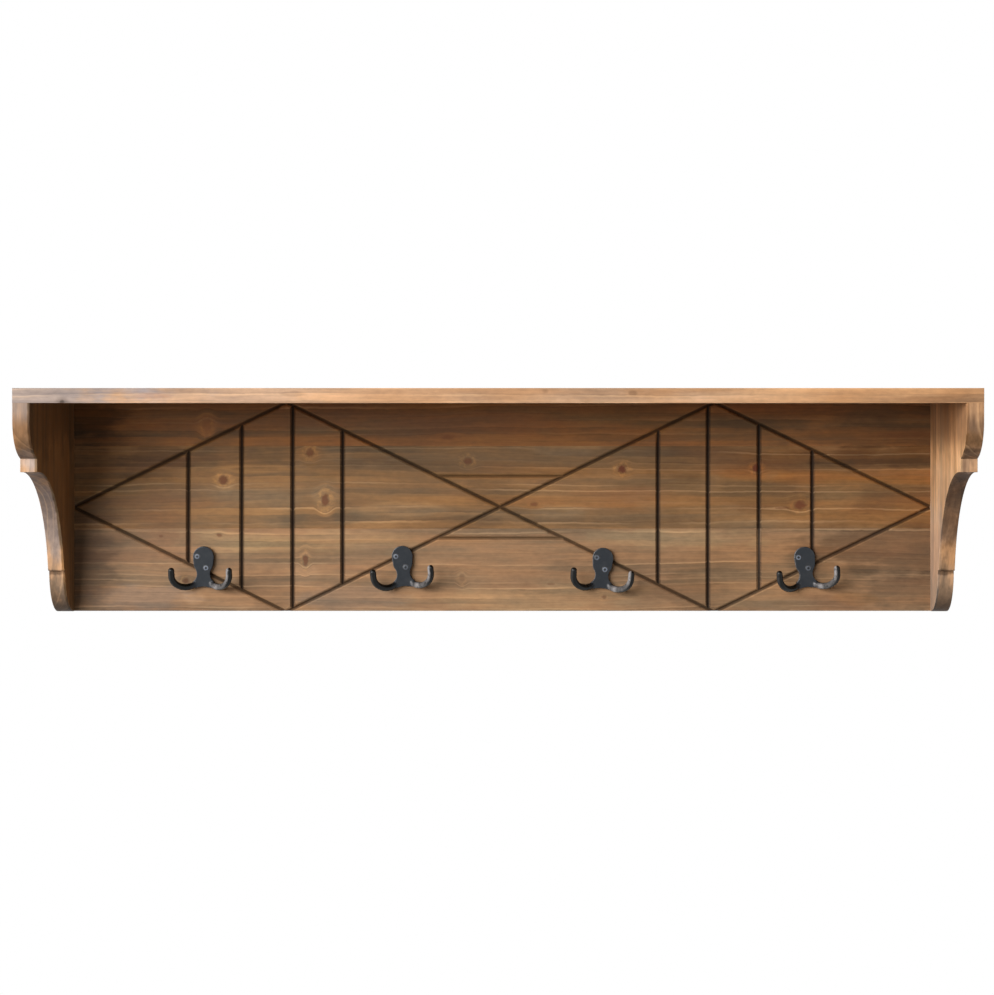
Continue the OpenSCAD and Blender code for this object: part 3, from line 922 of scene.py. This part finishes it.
def black_iron_finish():
    """Black enamel over rough castings, with a fine skin and a little dust. The plate's lighter bluish black
    is a painted reflection, the prongs' near black painted shade, and grey on the left-facing sides a
    painted highlight.
    """
    material, tree, shader = new_material("black_iron")
    place = tree.place()
    skin = tree.noise(place, 900, 3, 0.6)
    pits = tree.noise(place, 2600)
    on_prong = tree.attribute("prong")
    dust = tree.spread(tree.noise(place, 130, 3, 0.6), 0.45, 0.75)
    dust = tree.times(dust, tree.spread(on_prong, 0, 1, 0.3, 0.06))
    # Painted highlight: grey on the left-facing sides that the rim attribute marks, broken up by noise
    left_side_highlight = tree.spread(tree.noise(place, 300, 3, 0.6), 0.3, 0.55, 0.35, 1)
    left_side_highlight = tree.times(tree.attribute("rim"), left_side_highlight)
    # Two tones of one enamel: the plate's lighter bluish black is a painted reflection, the prongs' near
    # black painted shade
    colour = tree.blend(on_prong, srgb(38, 42, 47), srgb(6, 7, 5))
    colour = tree.blend(dust, colour, srgb(58, 60, 62))
    tree.fill(shader, {
        "Base Color": tree.blend(left_side_highlight, colour, srgb(156, 151, 150)),
        "Roughness": tree.summed(0.14, (skin, 0.16)),
        "Specular IOR Level": 0.22,
        "Normal": tree.bump(tree.summed(skin, (pits, 0.4)), 0.12 * MM, 0.12),
    })
    return material


def metal_with_lightened_rims(name, body, bright, roughness, metallic):
    """A blacked or plated screw or plate, lightened on its marked rims: on a screw's dome a ring that is a
    painted highlight, on a plate its eased edges.
    """
    material, tree, shader = new_material(name)
    place = tree.place()
    spots = tree.noise(place, 1500, 3, 0.6)
    patchy = tree.spread(tree.noise(place, 60, 1), 0.38, 0.6, 0.3, 1)
    lightened = tree.times(tree.attribute("rim"), tree.spread(spots, 0.2, 0.45), patchy)
    darker = tuple(0.7 * part for part in body[:3]) + (1,)
    colour = tree.blend(tree.spread(spots, 0.35, 0.8), body, darker)
    tree.fill(shader, {
        "Base Color": tree.blend(lightened, colour, bright),
        "Metallic": metallic,
        "Roughness": tree.summed(roughness, (spots, 0.2)),
        "Normal": tree.bump(spots, 0.05 * MM, 0.25),
    })
    return material


def dowel_finish():
    """Pale beech with short dark flecks."""
    material, tree, shader = new_material("dowel_beech")
    place = tree.place()
    grain = tree.noise(tree.vector("MULTIPLY", place, (1, 3, 0.25)), 700, 3, 0.6)
    fleck = tree.spread(tree.noise(tree.vector("MULTIPLY", place, (1, 3, 0.3)), 1600, 1), 0.62, 0.72)
    colour = tree.blend(grain, srgb(214, 178, 134), srgb(186, 146, 102))
    tree.fill(shader, {
        "Base Color": tree.blend(tree.times(fleck, 0.5), colour, srgb(140, 98, 62)),
        "Roughness": tree.summed(0.55, (grain, 0.2)),
        "Normal": tree.bump(grain, 0.1 * MM, 0.4),
    })
    return material


BLACK_IRON = black_iron_finish()
# On the screws the bright colour paints a highlight ring on the dome
BLACK_SCREW = metal_with_lightened_rims(
    "black_screw", srgb(12, 13, 15), srgb(110, 118, 132), roughness=0.4, metallic=0)
ZINC_STEEL = metal_with_lightened_rims(
    "zinc_steel", srgb(176, 178, 180), srgb(205, 205, 203), roughness=0.28, metallic=0.9)
DOWEL_WOOD = dowel_finish()


# Growing pieces with Geometry Nodes

def geometry_group(name, sizes):
    """An empty tree that takes points, named sizes and a material."""
    inputs = {"Geometry": "Geometry", **dict.fromkeys(sizes, "Float"), "Material": "Material"}
    return new_group(name, "GeometryNodeTree", inputs, {"Geometry": "Geometry"})


def finish_group(tree, geometry, material, made):
    """Ends a tree: instances made real, and the material set."""
    real = tree.result("GeometryNodeRealizeInstances", {"Geometry": geometry})
    coated = tree.result("GeometryNodeSetMaterial", {"Geometry": real, "Material": material})
    tree.fill(made, {"Geometry": coated})


def grown(name, places, group, material, sizes):
    """An object with one vertex for each place, run through a tree."""
    mesh = bpy.data.meshes.new(name)
    mesh.from_pydata(places, [], [])
    thing = new_object(name, mesh)
    modifier = thing.modifiers.new(name, "NODES")
    modifier.node_group = group
    values = {**sizes, "Material": material}
    for socket in group.interface.items_tree:
        if socket.in_out == "INPUT" and socket.name in values:
            modifier[socket.identifier] = values[socket.name]
    return settled(thing)


def add_grown(name, places, turn, group, material, node, sizes):
    """Grows a piece, turns it into its place and lets it take its node's."""
    mesh = mesh_out(grown(name, places, group, material, sizes))
    mesh.transform(turn)
    add_piece(name, smoothed(mesh), material, node)


def round_bar(tree, vertices, rows):
    """A cylinder one unit round and long, with its points' X, Y, share of the length and angle."""
    bar = tree.result("GeometryNodeMeshCylinder", {
        "Vertices": vertices, "Side Segments": rows, "Radius": 1, "Depth": 1,
    }, fill_type="TRIANGLE_FAN")
    x, y, z = tree.parts(tree.result("GeometryNodeInputPosition"))
    return bar, x, y, tree.plus(z, 0.5), tree.math("ARCTAN2", y, x)


def reshaped(tree, mesh, position):
    return tree.result("GeometryNodeSetPosition", {"Geometry": mesh, "Position": position})


def on_each(tree, points, shape):
    return tree.result("GeometryNodeInstanceOnPoints", {"Points": points, "Instance": shape})


# Screws

SCREW_SIZES = ("Head Radius", "Shank Radius", "Length", "Head Height", "Dome", "Thread Depth", "Pitch",
               "Recess Length", "Recess Width", "Recess Depth")

# Where along the bar of a screw the dome of its head, the cone under it and the shank end, and how its
# thread starts along the shank
DOME_END = 0.07
CONE_END = 0.13
SHANK_END = 0.88
THREAD_START = 0.12
THREAD_FULL = 0.2

SCREW_SIDES = 32
SCREW_ROWS = 80
DOME_START = math.radians(12)
DOME_SWING = math.radians(78)
POINT_LENGTH = 2
POINT_START = 1.03
THREAD_DEPTH = 0.4 * MM
THREAD_PITCH = 1.4 * MM
RECESS_WIDTH_SHARE = 1 / 3
RECESS_DEPTH_SHARE = 1 / 2.6


def make_screw_group():
    """Countersunk screws, one at each point, heads at the points and shanks along Z."""
    group, tree, size, made = geometry_group("wood_screw", SCREW_SIZES)
    bar, x, y, share, angle = round_bar(tree, SCREW_SIDES, SCREW_ROWS)
    dome = tree.ramp(share, 0, DOME_END)
    cone = tree.ramp(share, DOME_END, CONE_END)
    shank = tree.ramp(share, CONE_END, SHANK_END)
    point = tree.ramp(share, SHANK_END, 1)
    point_length = tree.times(size["Shank Radius"], POINT_LENGTH)
    shank_length = tree.minus(tree.minus(size["Length"], size["Head Height"]), point_length)
    swing = tree.summed(DOME_START, (dome, DOME_SWING))
    depth = tree.times(tree.math("COSINE", swing), tree.times(size["Dome"], -1))
    depth = tree.summed(depth, (cone, size["Head Height"]), (shank, shank_length), (point, point_length))

    # A thread that winds round the shank, and the radius that it is cut from
    turn = tree.math("DIVIDE", angle, 2 * math.pi)
    wave = tree.math("FRACT", tree.minus(tree.math("DIVIDE", depth, size["Pitch"]), turn))
    crest = tree.math("ABSOLUTE", tree.summed(-1, (wave, 2)))
    cut = tree.times(crest, tree.ramp(shank, THREAD_START, THREAD_FULL), size["Thread Depth"])
    flare = tree.minus(size["Head Radius"], size["Shank Radius"])
    radius = tree.times(tree.math("SINE", swing), size["Head Radius"])
    radius = tree.minus(tree.minus(radius, tree.times(cone, flare)), cut)
    radius = tree.times(radius, tree.minus(POINT_START, point))

    # A ring on the dome, which the finish lightens as a painted highlight
    rim = tree.times(tree.spread(dome, 0.1, 0.2), tree.spread(dome, 0.36, 0.5, 1, 0))
    marked = tree.result("GeometryNodeStoreNamedAttribute", {"Geometry": bar, "Name": "rim", "Value": rim},
                         data_type="FLOAT", domain="POINT")
    screw = reshaped(tree, marked, tree.join(tree.times(x, radius), tree.times(y, radius), depth))

    # A cross recess, cut by two bars
    recess = tree.node("GeometryNodeMeshBoolean", {"Mesh 1": screw}, operation="DIFFERENCE", solver="EXACT")
    deep = tree.times(size["Recess Depth"], 2)
    long, wide = size["Recess Length"], size["Recess Width"]
    for arm in ((long, wide), (wide, long)):
        cutter = tree.result("GeometryNodeMeshCube", {"Size": tree.join(*arm, deep)})
        tree.fill(recess, {"Mesh 2": cutter})
    finish_group(tree, on_each(tree, size["Geometry"], recess.outputs["Mesh"]), size["Material"], made)
    return group


def screw_sizes(head_radius, shank_radius, head_height, length, dome, recess):
    """What the tree of a screw takes, with the recess given by its length."""
    return {
        "Head Radius": head_radius, "Shank Radius": shank_radius, "Head Height": head_height,
        "Length": length, "Dome": dome, "Thread Depth": THREAD_DEPTH, "Pitch": THREAD_PITCH,
        "Recess Length": recess, "Recess Width": recess * RECESS_WIDTH_SHARE,
        "Recess Depth": recess * RECESS_DEPTH_SHARE,
    }


# Cast hooks, in their own space: the head's middle at the origin, the back of the plate at Y 0

PLATE_THICKNESS = 5 * MM
HEAD_RADIUS = 10.7 * MM
SHOULDER_RADIUS = 10 * MM
SHOULDER_DROP = 7 * MM
WAIST_WIDTH = 13.6 * MM
GAP_RADIUS = 9.6 * MM
GAP_END_ANGLE = math.radians(238)
CROTCH_DROP = 13 * MM
CROTCH_RADIUS = 22 * MM
CROTCH_HALF = 8 * MM
PRONG_RADIUS = 3.4 * MM
PRONG_TIP_RADIUS = 3.2 * MM
PRONG_REACH = 26 * MM
PRONG_START_ANGLE = math.radians(218)
PRONG_TIP_RISE = 5 * MM
PRONG_TIP_LEAN = 1 * MM
PRONG_ROOT_SET_IN = 0.1 * MM
GAP_X = WAIST_WIDTH / 2 + GAP_RADIUS
GAP_Z = -SHOULDER_DROP - math.sqrt((SHOULDER_RADIUS + GAP_RADIUS) ** 2 - GAP_X ** 2)
CROTCH_Z = GAP_Z - CROTCH_DROP
QUARTER = math.radians(90)

CASTING_VOXEL = 0.38 * MM
CASTING_EASING = 0.6
CASTING_PASSES = 7
CASTING_SHARP_ANGLE = math.radians(42)

HOOK_COUNT = sum(node.startswith("coat_hook_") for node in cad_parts)
SCREW_PLACES = ((-6.3 * MM, 0.3 * MM), (2.8 * MM, -11.5 * MM))
HOOK_SCREW_RADIUS = 1.75 * MM
HOOK_SCREW_HEAD_RADIUS = 3.2 * MM
HOOK_SCREW_HEAD_HEIGHT = 1.9 * MM
HOOK_SCREW_LENGTH = 14 * MM
HOOK_SCREW_DOME = 0.5 * MM
HOOK_SCREW_RECESS = 2.5 * MM
HOOK_SCREW = screw_sizes(HOOK_SCREW_HEAD_RADIUS, HOOK_SCREW_RADIUS, HOOK_SCREW_HEAD_HEIGHT,
                         HOOK_SCREW_LENGTH, HOOK_SCREW_DOME, HOOK_SCREW_RECESS)
SCREW_CLEARANCE = 0.1 * MM
HOLE_SIDES = 32
OVER = 1 * MM
TOWARDS_WALL = Matrix.Rotation(-QUARTER, 4, "X")


def arc_points(centre_x, centre_z, radius, start, end, steps):
    turns = [start + (end - start) * step / steps for step in range(steps + 1)]
    return [(centre_x + radius * math.cos(turn), centre_z + radius * math.sin(turn)) for turn in turns]


def plate_outline():
    """The plate's edge, from the top of the head down its right side and back up its left."""
    head_end = -math.asin((HEAD_RADIUS - SHOULDER_RADIUS) / SHOULDER_DROP)
    shoulder_end = math.atan2(GAP_Z + SHOULDER_DROP, GAP_X)
    crotch_start = QUARTER - math.asin(CROTCH_HALF / CROTCH_RADIUS)
    right = arc_points(0, 0, HEAD_RADIUS, QUARTER, head_end, steps=18)
    right += arc_points(0, -SHOULDER_DROP, SHOULDER_RADIUS, head_end, shoulder_end, steps=10)[1:]
    right += arc_points(GAP_X, GAP_Z, GAP_RADIUS, math.pi + shoulder_end, GAP_END_ANGLE, steps=18)[1:]
    right += arc_points(0, CROTCH_Z - CROTCH_RADIUS, CROTCH_RADIUS, crotch_start, QUARTER, steps=8)
    return right + [(-x, z) for x, z in reversed(right[1:-1])]


PRONG_SIZES = {
    "Gap X": GAP_X,
    "Gap Z": GAP_Z,
    "Path Radius": GAP_RADIUS + PRONG_RADIUS,
    "Start Angle": PRONG_START_ANGLE,
    "Root Depth": PLATE_THICKNESS / 2,
    "Bend Depth": PRONG_REACH - PRONG_TIP_RADIUS - PRONG_TIP_LEAN,
    "Tip Rise": PRONG_TIP_RISE,
    "Tip Lean": PRONG_TIP_LEAN,
    "Root Radius": PLATE_THICKNESS / 2 - PRONG_ROOT_SET_IN,
    "Thick Radius": PRONG_RADIUS,
    "Tip Radius": PRONG_TIP_RADIUS,
}
PRONG_STEPS = 71
PRONG_SIDES = 24
DOME_TURN = math.radians(88)

# How far along its path a prong thickens, bends round the gap and rises, and how late it leaves the wall
SWELL_END = 0.2
BEND_END = 0.74
RISE_END = 0.9
LEAVING_CURVE = 1.4


def make_prong_group():
    """Both prongs: round bars that leave the plate, go round the gaps and end upwards in domes."""
    group, tree, size, made = geometry_group("prongs", PRONG_SIZES)
    share = tree.math("DIVIDE", tree.result("GeometryNodeInputIndex"), PRONG_STEPS)
    bend = tree.ramp(share, 0, BEND_END)
    rise = tree.ramp(share, BEND_END, RISE_END)
    dome_turn = tree.times(tree.ramp(share, RISE_END, 1), DOME_TURN)
    angle = tree.ramp(bend, 0, 1, size["Start Angle"], 2 * math.pi)
    start_x = tree.times(tree.math("COSINE", size["Start Angle"]), size["Path Radius"])
    from_gap = tree.times(tree.math("COSINE", angle), size["Path Radius"])
    out = tree.math("POWER", tree.ramp(from_gap, start_x, size["Path Radius"]), LEAVING_CURVE)
    out = tree.ramp(out, 0, 1, size["Root Depth"], size["Bend Depth"])
    out = tree.summed(out, (rise, size["Tip Lean"]))
    x = tree.plus(size["Gap X"], from_gap)
    z = tree.summed(
        size["Gap Z"], (tree.math("SINE", angle), size["Path Radius"]), (rise, size["Tip Rise"]),
        (tree.math("SINE", dome_turn), size["Tip Radius"]),
    )
    swell = tree.spread(share, 0, SWELL_END, size["Root Radius"], size["Thick Radius"])
    thin = tree.ramp(share, SWELL_END, RISE_END, size["Thick Radius"], size["Tip Radius"])
    radius = tree.times(tree.math("MINIMUM", swell, thin), tree.math("COSINE", dome_turn))

    line = tree.result("GeometryNodeMeshLine", {"Count": PRONG_STEPS + 1}, mode="OFFSET")
    path = reshaped(tree, line, tree.join(x, tree.times(out, -1), z))
    curve = tree.result("GeometryNodeMeshToCurve", {0: path})
    section = tree.result("GeometryNodeCurvePrimitiveCircle", {"Resolution": PRONG_SIDES, "Radius": 1})
    right = tree.result("GeometryNodeCurveToMesh", {
        "Curve": curve, "Profile Curve": section, "Scale": radius, "Fill Caps": True,
    })
    mirrored = tree.result("GeometryNodeTransform", {"Geometry": right, "Scale": (-1, 1, 1)})
    left = tree.result("GeometryNodeFlipFaces", {0: mirrored})
    both = tree.node("GeometryNodeJoinGeometry")
    for prong in (right, left):
        tree.fill(both, {0: prong})
    finish_group(tree, both.outputs[0], size["Material"], made)
    return group


def plate_with_prongs():
    """The plate and the prongs as they overlap, before they are cast in one."""
    shape = bmesh.new()
    plate = shape.faces.new([shape.verts.new((x, 0, z)) for x, z in plate_outline()])
    front = bmesh.ops.extrude_face_region(shape, geom=[plate])
    verts = [part for part in front["geom"] if isinstance(part, bmesh.types.BMVert)]
    bmesh.ops.translate(shape, vec=(0, -PLATE_THICKNESS, 0), verts=verts)
    prongs = grown("prongs", [(0, 0, 0)], make_prong_group(), BLACK_IRON, PRONG_SIZES)
    shape.from_mesh(mesh_out(prongs))
    bmesh.ops.recalc_face_normals(shape, faces=shape.faces)
    return new_object("casting", mesh_from(shape, "casting"))


def screw_cutter(name, front_radius, back_radius, back_y):
    """Closed cones along Y at both screws, from in front of the plate to a depth."""
    shape = bmesh.new()
    front_y = -PLATE_THICKNESS - OVER
    for x, z in SCREW_PLACES:
        cone = bmesh.ops.create_cone(
            shape, cap_ends=True, segments=HOLE_SIDES, radius1=front_radius, radius2=back_radius,
            depth=back_y - front_y,
        )
        shift = Matrix.Translation((x, (front_y + back_y) / 2, z))
        bmesh.ops.transform(shape, matrix=shift @ TOWARDS_WALL, verts=cone["verts"])
    return new_object(name, mesh_from(shape, name))


def drill(casting):
    """Cuts the two screw holes and their countersinks."""
    hole = HOOK_SCREW_RADIUS + SCREW_CLEARANCE
    head = HOOK_SCREW_HEAD_RADIUS + SCREW_CLEARANCE
    slope = (head - hole) / HOOK_SCREW_HEAD_HEIGHT
    cutters = (
        screw_cutter("drill", hole, hole, OVER),
        screw_cutter("sink", head + slope * OVER, hole, HOOK_SCREW_HEAD_HEIGHT - PLATE_THICKNESS),
    )
    for cutter in cutters:
        cut = casting.modifiers.new(cutter.name, "BOOLEAN")
        cut.operation = "DIFFERENCE"
        cut.solver = "EXACT"
        cut.object = cutter
    settled(casting)
    for cutter in cutters:
        bpy.data.objects.remove(cutter)


# Where a prong leaves the plate, where the painted highlights on its left-facing sides run, and how strong
# the highlight is on each part
PRONG_START = WAIST_WIDTH / 2 + 1 * MM
PRONG_FULL = PRONG_START + 5 * MM
ROOT_START = PRONG_FULL + 1 * MM
ROOT_END = PRONG_FULL + 5 * MM
HIGHLIGHT_LOW_Z = GAP_Z - 9 * MM
HIGHLIGHT_HIGH_Z = GAP_Z - 1 * MM
HEAD_FADE = 2 * MM
LEFT_PRONG_HIGHLIGHT = 0.1
LOW_PRONG_HIGHLIGHT = 0.35
ROOT_HIGHLIGHT = 0.85
PLATE_HIGHLIGHT = 0.45
HIGHLIGHT_FACING = 0.55


def share_between(value, low, high):
    return min(max((value - low) / (high - low), 0), 1)


def mark_highlights(mesh):
    """Marks the prongs, and paints highlights on the left-facing sides of the prongs, mostly the right one,
    and of the plate.
    """
    prong = mesh.attributes.new("prong", "FLOAT", "POINT")
    left_side_highlight = mesh.attributes.new("rim", "FLOAT", "POINT")
    for number, vertex in enumerate(mesh.vertices):
        x, _, z = vertex.co
        below_head = share_between(-z, SHOULDER_DROP, SHOULDER_DROP + HEAD_FADE)
        on_prong = share_between(abs(x), PRONG_START, PRONG_FULL) * below_head
        side = 1 if x > 0 else LEFT_PRONG_HIGHLIGHT
        upright = LOW_PRONG_HIGHLIGHT + (1 - LOW_PRONG_HIGHLIGHT) * share_between(z, HIGHLIGHT_LOW_Z, HIGHLIGHT_HIGH_Z)
        near_root = ROOT_HIGHLIGHT * share_between(abs(x), ROOT_END, ROOT_START)
        prong_highlight = on_prong * side * max(upright, near_root)
        faces_left = share_between(-vertex.normal.x, 0, HIGHLIGHT_FACING)
        prong.data[number].value = on_prong
        left_side_highlight.data[number].value = faces_left * max(prong_highlight, PLATE_HIGHLIGHT * (1 - on_prong))


def cast_hook():
    """One hook in its own space: plate and prongs run together as a casting, then drilled."""
    casting = plate_with_prongs()
    remesh = casting.modifiers.new("casting skin", "REMESH")
    remesh.mode = "VOXEL"
    remesh.voxel_size = CASTING_VOXEL
    smooth = casting.modifiers.new("eased edges", "SMOOTH")
    smooth.factor = CASTING_EASING
    smooth.iterations = CASTING_PASSES
    settled(casting)
    drill(casting)
    mesh = mesh_out(casting)
    mark_highlights(mesh)
    return smoothed(mesh, CASTING_SHARP_ANGLE)


def hook_place(number):
    """Where a hook sits and how it is turned, read off the two screws that hold it."""
    low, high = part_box(f"hook_screws_{number}")
    first = Vector((low.x + HOOK_SCREW_HEAD_RADIUS, high.z - HOOK_SCREW_HEAD_RADIUS))
    second = Vector((high.x - HOOK_SCREW_HEAD_RADIUS, low.z + HOOK_SCREW_HEAD_RADIUS))
    wanted = second - first
    plain = Vector(SCREW_PLACES[1]) - Vector(SCREW_PLACES[0])
    turn = math.atan2(wanted.y, wanted.x) - math.atan2(plain.y, plain.x)
    head = first - Matrix.Rotation(turn, 2) @ Vector(SCREW_PLACES[0])
    return Matrix.Translation((head.x, PANEL_FACE_Y, head.y)) @ Matrix.Rotation(-turn, 4, "Y")


SCREW_GROUP = make_screw_group()
hook_mesh = cast_hook()
hook_heads = [(x, -z, -PLATE_THICKNESS) for x, z in SCREW_PLACES]
for number in range(1, HOOK_COUNT + 1):
    place = hook_place(number)
    hook = hook_mesh.copy()
    hook.transform(place)
    add_piece(f"cast_hook_{number}", hook, BLACK_IRON, f"coat_hook_{number}")
    add_grown(f"hook_screw_pair_{number}", hook_heads, place @ TOWARDS_WALL, SCREW_GROUP, BLACK_SCREW,
              f"hook_screws_{number}", HOOK_SCREW)


# Dowels and keyhole hangers

DOWEL_SIZES = ("Radius", "Length", "Flute Depth", "Chamfer")
DOWEL_SIDES = 48
DOWEL_ROWS = 12
FLUTES = 12
FLUTE_DEPTH = 0.35 * MM
DOWEL_CHAMFER = 0.8 * MM
SHELF_DOWEL_RADIUS = 4 * MM
PANEL_DOWEL_RADIUS = 3 * MM
TOP_DOWELS = 4

PLATE_EDGE = 0.25 * MM
PLATE_EDGE_SEGMENTS = 2
PLATE_LEAST_DEGREES = 60
PLATE_SCREW_HEAD_RADIUS = 2.5 * MM
PLATE_SCREW_RADIUS = 1.5 * MM
PLATE_SCREW_HEAD_HEIGHT = 1.2 * MM
PLATE_SCREW_DOME = 0.05 * MM
PLATE_SCREW_RECESS = 2.4 * MM

STRAIGHT_UP = Matrix.Identity(4)
ALONG_X = Matrix.Rotation(QUARTER, 4, "Y")
AWAY_FROM_WALL = Matrix.Rotation(QUARTER, 4, "X")


def make_dowel_group():
    """Fluted dowels with chamfered ends, one on each point and standing along Z from it."""
    group, tree, size, made = geometry_group("fluted_dowel", DOWEL_SIZES)
    bar, x, y, share, angle = round_bar(tree, DOWEL_SIDES, DOWEL_ROWS)
    from_end = tree.times(tree.math("MINIMUM", share, tree.minus(1, share)), size["Length"])
    narrowed = tree.math("MAXIMUM", tree.minus(size["Chamfer"], from_end), 0)
    flute = tree.summed(0.5, (tree.math("COSINE", tree.times(angle, FLUTES)), 0.5))
    radius = tree.minus(size["Radius"], tree.times(flute, size["Flute Depth"]))
    radius = tree.minus(radius, narrowed)
    place = tree.join(tree.times(x, radius), tree.times(y, radius), tree.times(share, size["Length"]))
    dowel = reshaped(tree, bar, place)
    finish_group(tree, on_each(tree, size["Geometry"], dowel), size["Material"], made)
    return group


DOWEL_GROUP = make_dowel_group()


def spaced(low, high, inset, count=2):
    """Places set out evenly between two ends, with the first and last set in from them."""
    step = (high - low - 2 * inset) / (count - 1)
    return [low + inset + step * number for number in range(count)]


def dowels(node, places, turn, radius, length):
    sizes = {"Radius": radius, "Length": length, "Flute Depth": FLUTE_DEPTH, "Chamfer": DOWEL_CHAMFER}
    add_grown(f"fluted_{node}", places, turn, DOWEL_GROUP, DOWEL_WOOD, node, sizes)


def shelf_dowels(node):
    low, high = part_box(node)
    x = (low.x + high.x) / 2
    ends = [(x, y, low.z) for y in spaced(low.y, high.y, SHELF_DOWEL_RADIUS)]
    dowels(node, ends, STRAIGHT_UP, SHELF_DOWEL_RADIUS, high.z - low.z)


def panel_dowels(node):
    low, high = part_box(node)
    y = (low.y + high.y) / 2
    ends = [(-z, y, low.x) for z in spaced(low.z, high.z, PANEL_DOWEL_RADIUS)]
    dowels(node, ends, ALONG_X, PANEL_DOWEL_RADIUS, high.x - low.x)


def top_dowels(node):
    low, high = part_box(node)
    y = (low.y + high.y) / 2
    ends = [(x, y, low.z) for x in spaced(low.x, high.x, PANEL_DOWEL_RADIUS, TOP_DOWELS)]
    dowels(node, ends, STRAIGHT_UP, PANEL_DOWEL_RADIUS, high.z - low.z)


def keyhole_plate(node):
    """A plate with its pressed edges eased."""
    shape = merged_mesh(node)
    bevelled(shape, lambda edge: True, PLATE_EDGE, PLATE_EDGE_SEGMENTS, PLATE_LEAST_DEGREES)
    mesh = smoothed(mesh_from(shape, f"pressed_{node}"))
    add_piece(f"pressed_{node}", mesh, ZINC_STEEL, node)


def plate_screws(name, node):
    low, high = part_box(node)
    x = (low.x + high.x) / 2
    heads = [(x, z, PLATE_SCREW_DOME) for z in spaced(low.z, high.z, PLATE_SCREW_HEAD_RADIUS)]
    sizes = screw_sizes(
        PLATE_SCREW_HEAD_RADIUS, PLATE_SCREW_RADIUS, PLATE_SCREW_HEAD_HEIGHT,
        high.y - low.y - PLATE_SCREW_DOME, PLATE_SCREW_DOME, PLATE_SCREW_RECESS,
    )
    add_grown(name, heads, AWAY_FROM_WALL, SCREW_GROUP, ZINC_STEEL, node, sizes)


for side in ("left", "right"):
    shelf_dowels(f"shelf_dowels_{side}")
    panel_dowels(f"panel_dowels_{side}")
    keyhole_plate(f"keyhole_plate_{side}")
    plate_screws(f"plate_screw_pair_{side}", f"plate_screws_{side}")
top_dowels("top_dowels")


# Stage

FLOOR_DROP = 1.7
FLOOR_SIZE = 3
FLOOR_ROUGHNESS = 0.9
FLOOR_SHADOW_REACH = 0.7
FLOOR_SHADOW_GLOW = 0.6
WORLD_STRENGTH = 0.02
LAMP_DISTANCE = 4.5

# Lamps: name, azimuth from straight in front to the right, elevation, width, height and power
LAMPS = (
    ("window", -38, 14, 3.8, 2.2, 280),
    ("fill", 28, 6, 1.5, 1.5, 14),
    ("behind", 180, 35, 3, 3, 90),
)


def seen_directly(tree):
    """One for the rays that see the background: the camera's own, mirrored and passed through."""
    path = tree.node("ShaderNodeLightPath").outputs
    seen = tree.math("MAXIMUM", path["Is Camera Ray"], path["Is Glossy Ray"])
    return tree.math("MAXIMUM", seen, path["Is Transmission Ray"])


def make_floor():
    """A pale floor that shows white away from the shadow of the object."""
    shape = bmesh.new()
    bmesh.ops.create_grid(shape, x_segments=1, y_segments=1, size=FLOOR_SIZE / 2)
    floor = new_object("floor", mesh_from(shape, "floor"))
    floor.location = (0, 0, PANEL_BOTTOM_Z - FLOOR_DROP)
    material, tree, shader = new_material("pale_floor")
    tree.fill(shader, {"Base Color": srgb(238, 237, 234), "Roughness": FLOOR_ROUGHNESS})
    from_middle = tree.vector("LENGTH", tree.place())
    white = tree.spread(from_middle, FLOOR_SHADOW_REACH, 2 * FLOOR_SHADOW_REACH, FLOOR_SHADOW_GLOW, 1)
    mixed = tree.result("ShaderNodeMixShader", {
        0: tree.times(seen_directly(tree), white),
        1: shader.outputs[0],
        2: tree.result("ShaderNodeEmission", {"Strength": 1}),
    })
    tree.fill(material.node_tree.nodes["Material Output"], {"Surface": mixed})
    floor.data.materials.append(material)


def make_world():
    """White where it is seen, and faint as a light."""
    world = bpy.data.worlds.new("studio")
    world.use_nodes = True
    tree = Tree(world.node_tree)
    tree.fill(world.node_tree.nodes["Background"], {
        "Color": (1, 1, 1, 1), "Strength": tree.ramp(seen_directly(tree), 0, 1, WORLD_STRENGTH, 1),
    })
    bpy.context.scene.world = world


def area_lamp(name, azimuth, elevation, width, height, power):
    """A soft lamp aimed at the middle of the shelf."""
    lamp = bpy.data.lights.new(name, "AREA")
    lamp.shape = "RECTANGLE"
    lamp.size = width
    lamp.size_y = height
    lamp.energy = power
    around, up = math.radians(azimuth), math.radians(elevation)
    away = Vector((math.sin(around) * math.cos(up), -math.cos(around) * math.cos(up), math.sin(up)))
    placed = new_object(name, lamp)
    placed.location = (PANEL_LOW + SHELF_HIGH) / 2 + away * LAMP_DISTANCE
    placed.rotation_euler = (-away).to_track_quat("-Z", "Y").to_euler()


def make_camera():
    camera = bpy.data.cameras.new("camera")
    camera.sensor_fit = "HORIZONTAL"
    camera.sensor_width = SENSOR_MM
    camera.lens = FOCAL_PIXELS * SENSOR_MM / PHOTO_WIDTH
    camera.shift_x = -(VANISHING_X - PHOTO_WIDTH / 2) / PHOTO_WIDTH
    camera.shift_y = (VANISHING_Y - PHOTO_HEIGHT / 2) / PHOTO_WIDTH
    placed = new_object("camera", camera)
    placed.location = (CAMERA_X, FRONT_Y - CAMERA_DISTANCE, CAMERA_Z)
    placed.rotation_euler = (QUARTER, 0, 0)
    bpy.context.scene.camera = placed


make_floor()
make_world()
for lamp in LAMPS:
    area_lamp(*lamp)
make_camera()
bpy.context.scene.view_settings.view_transform = "Standard"
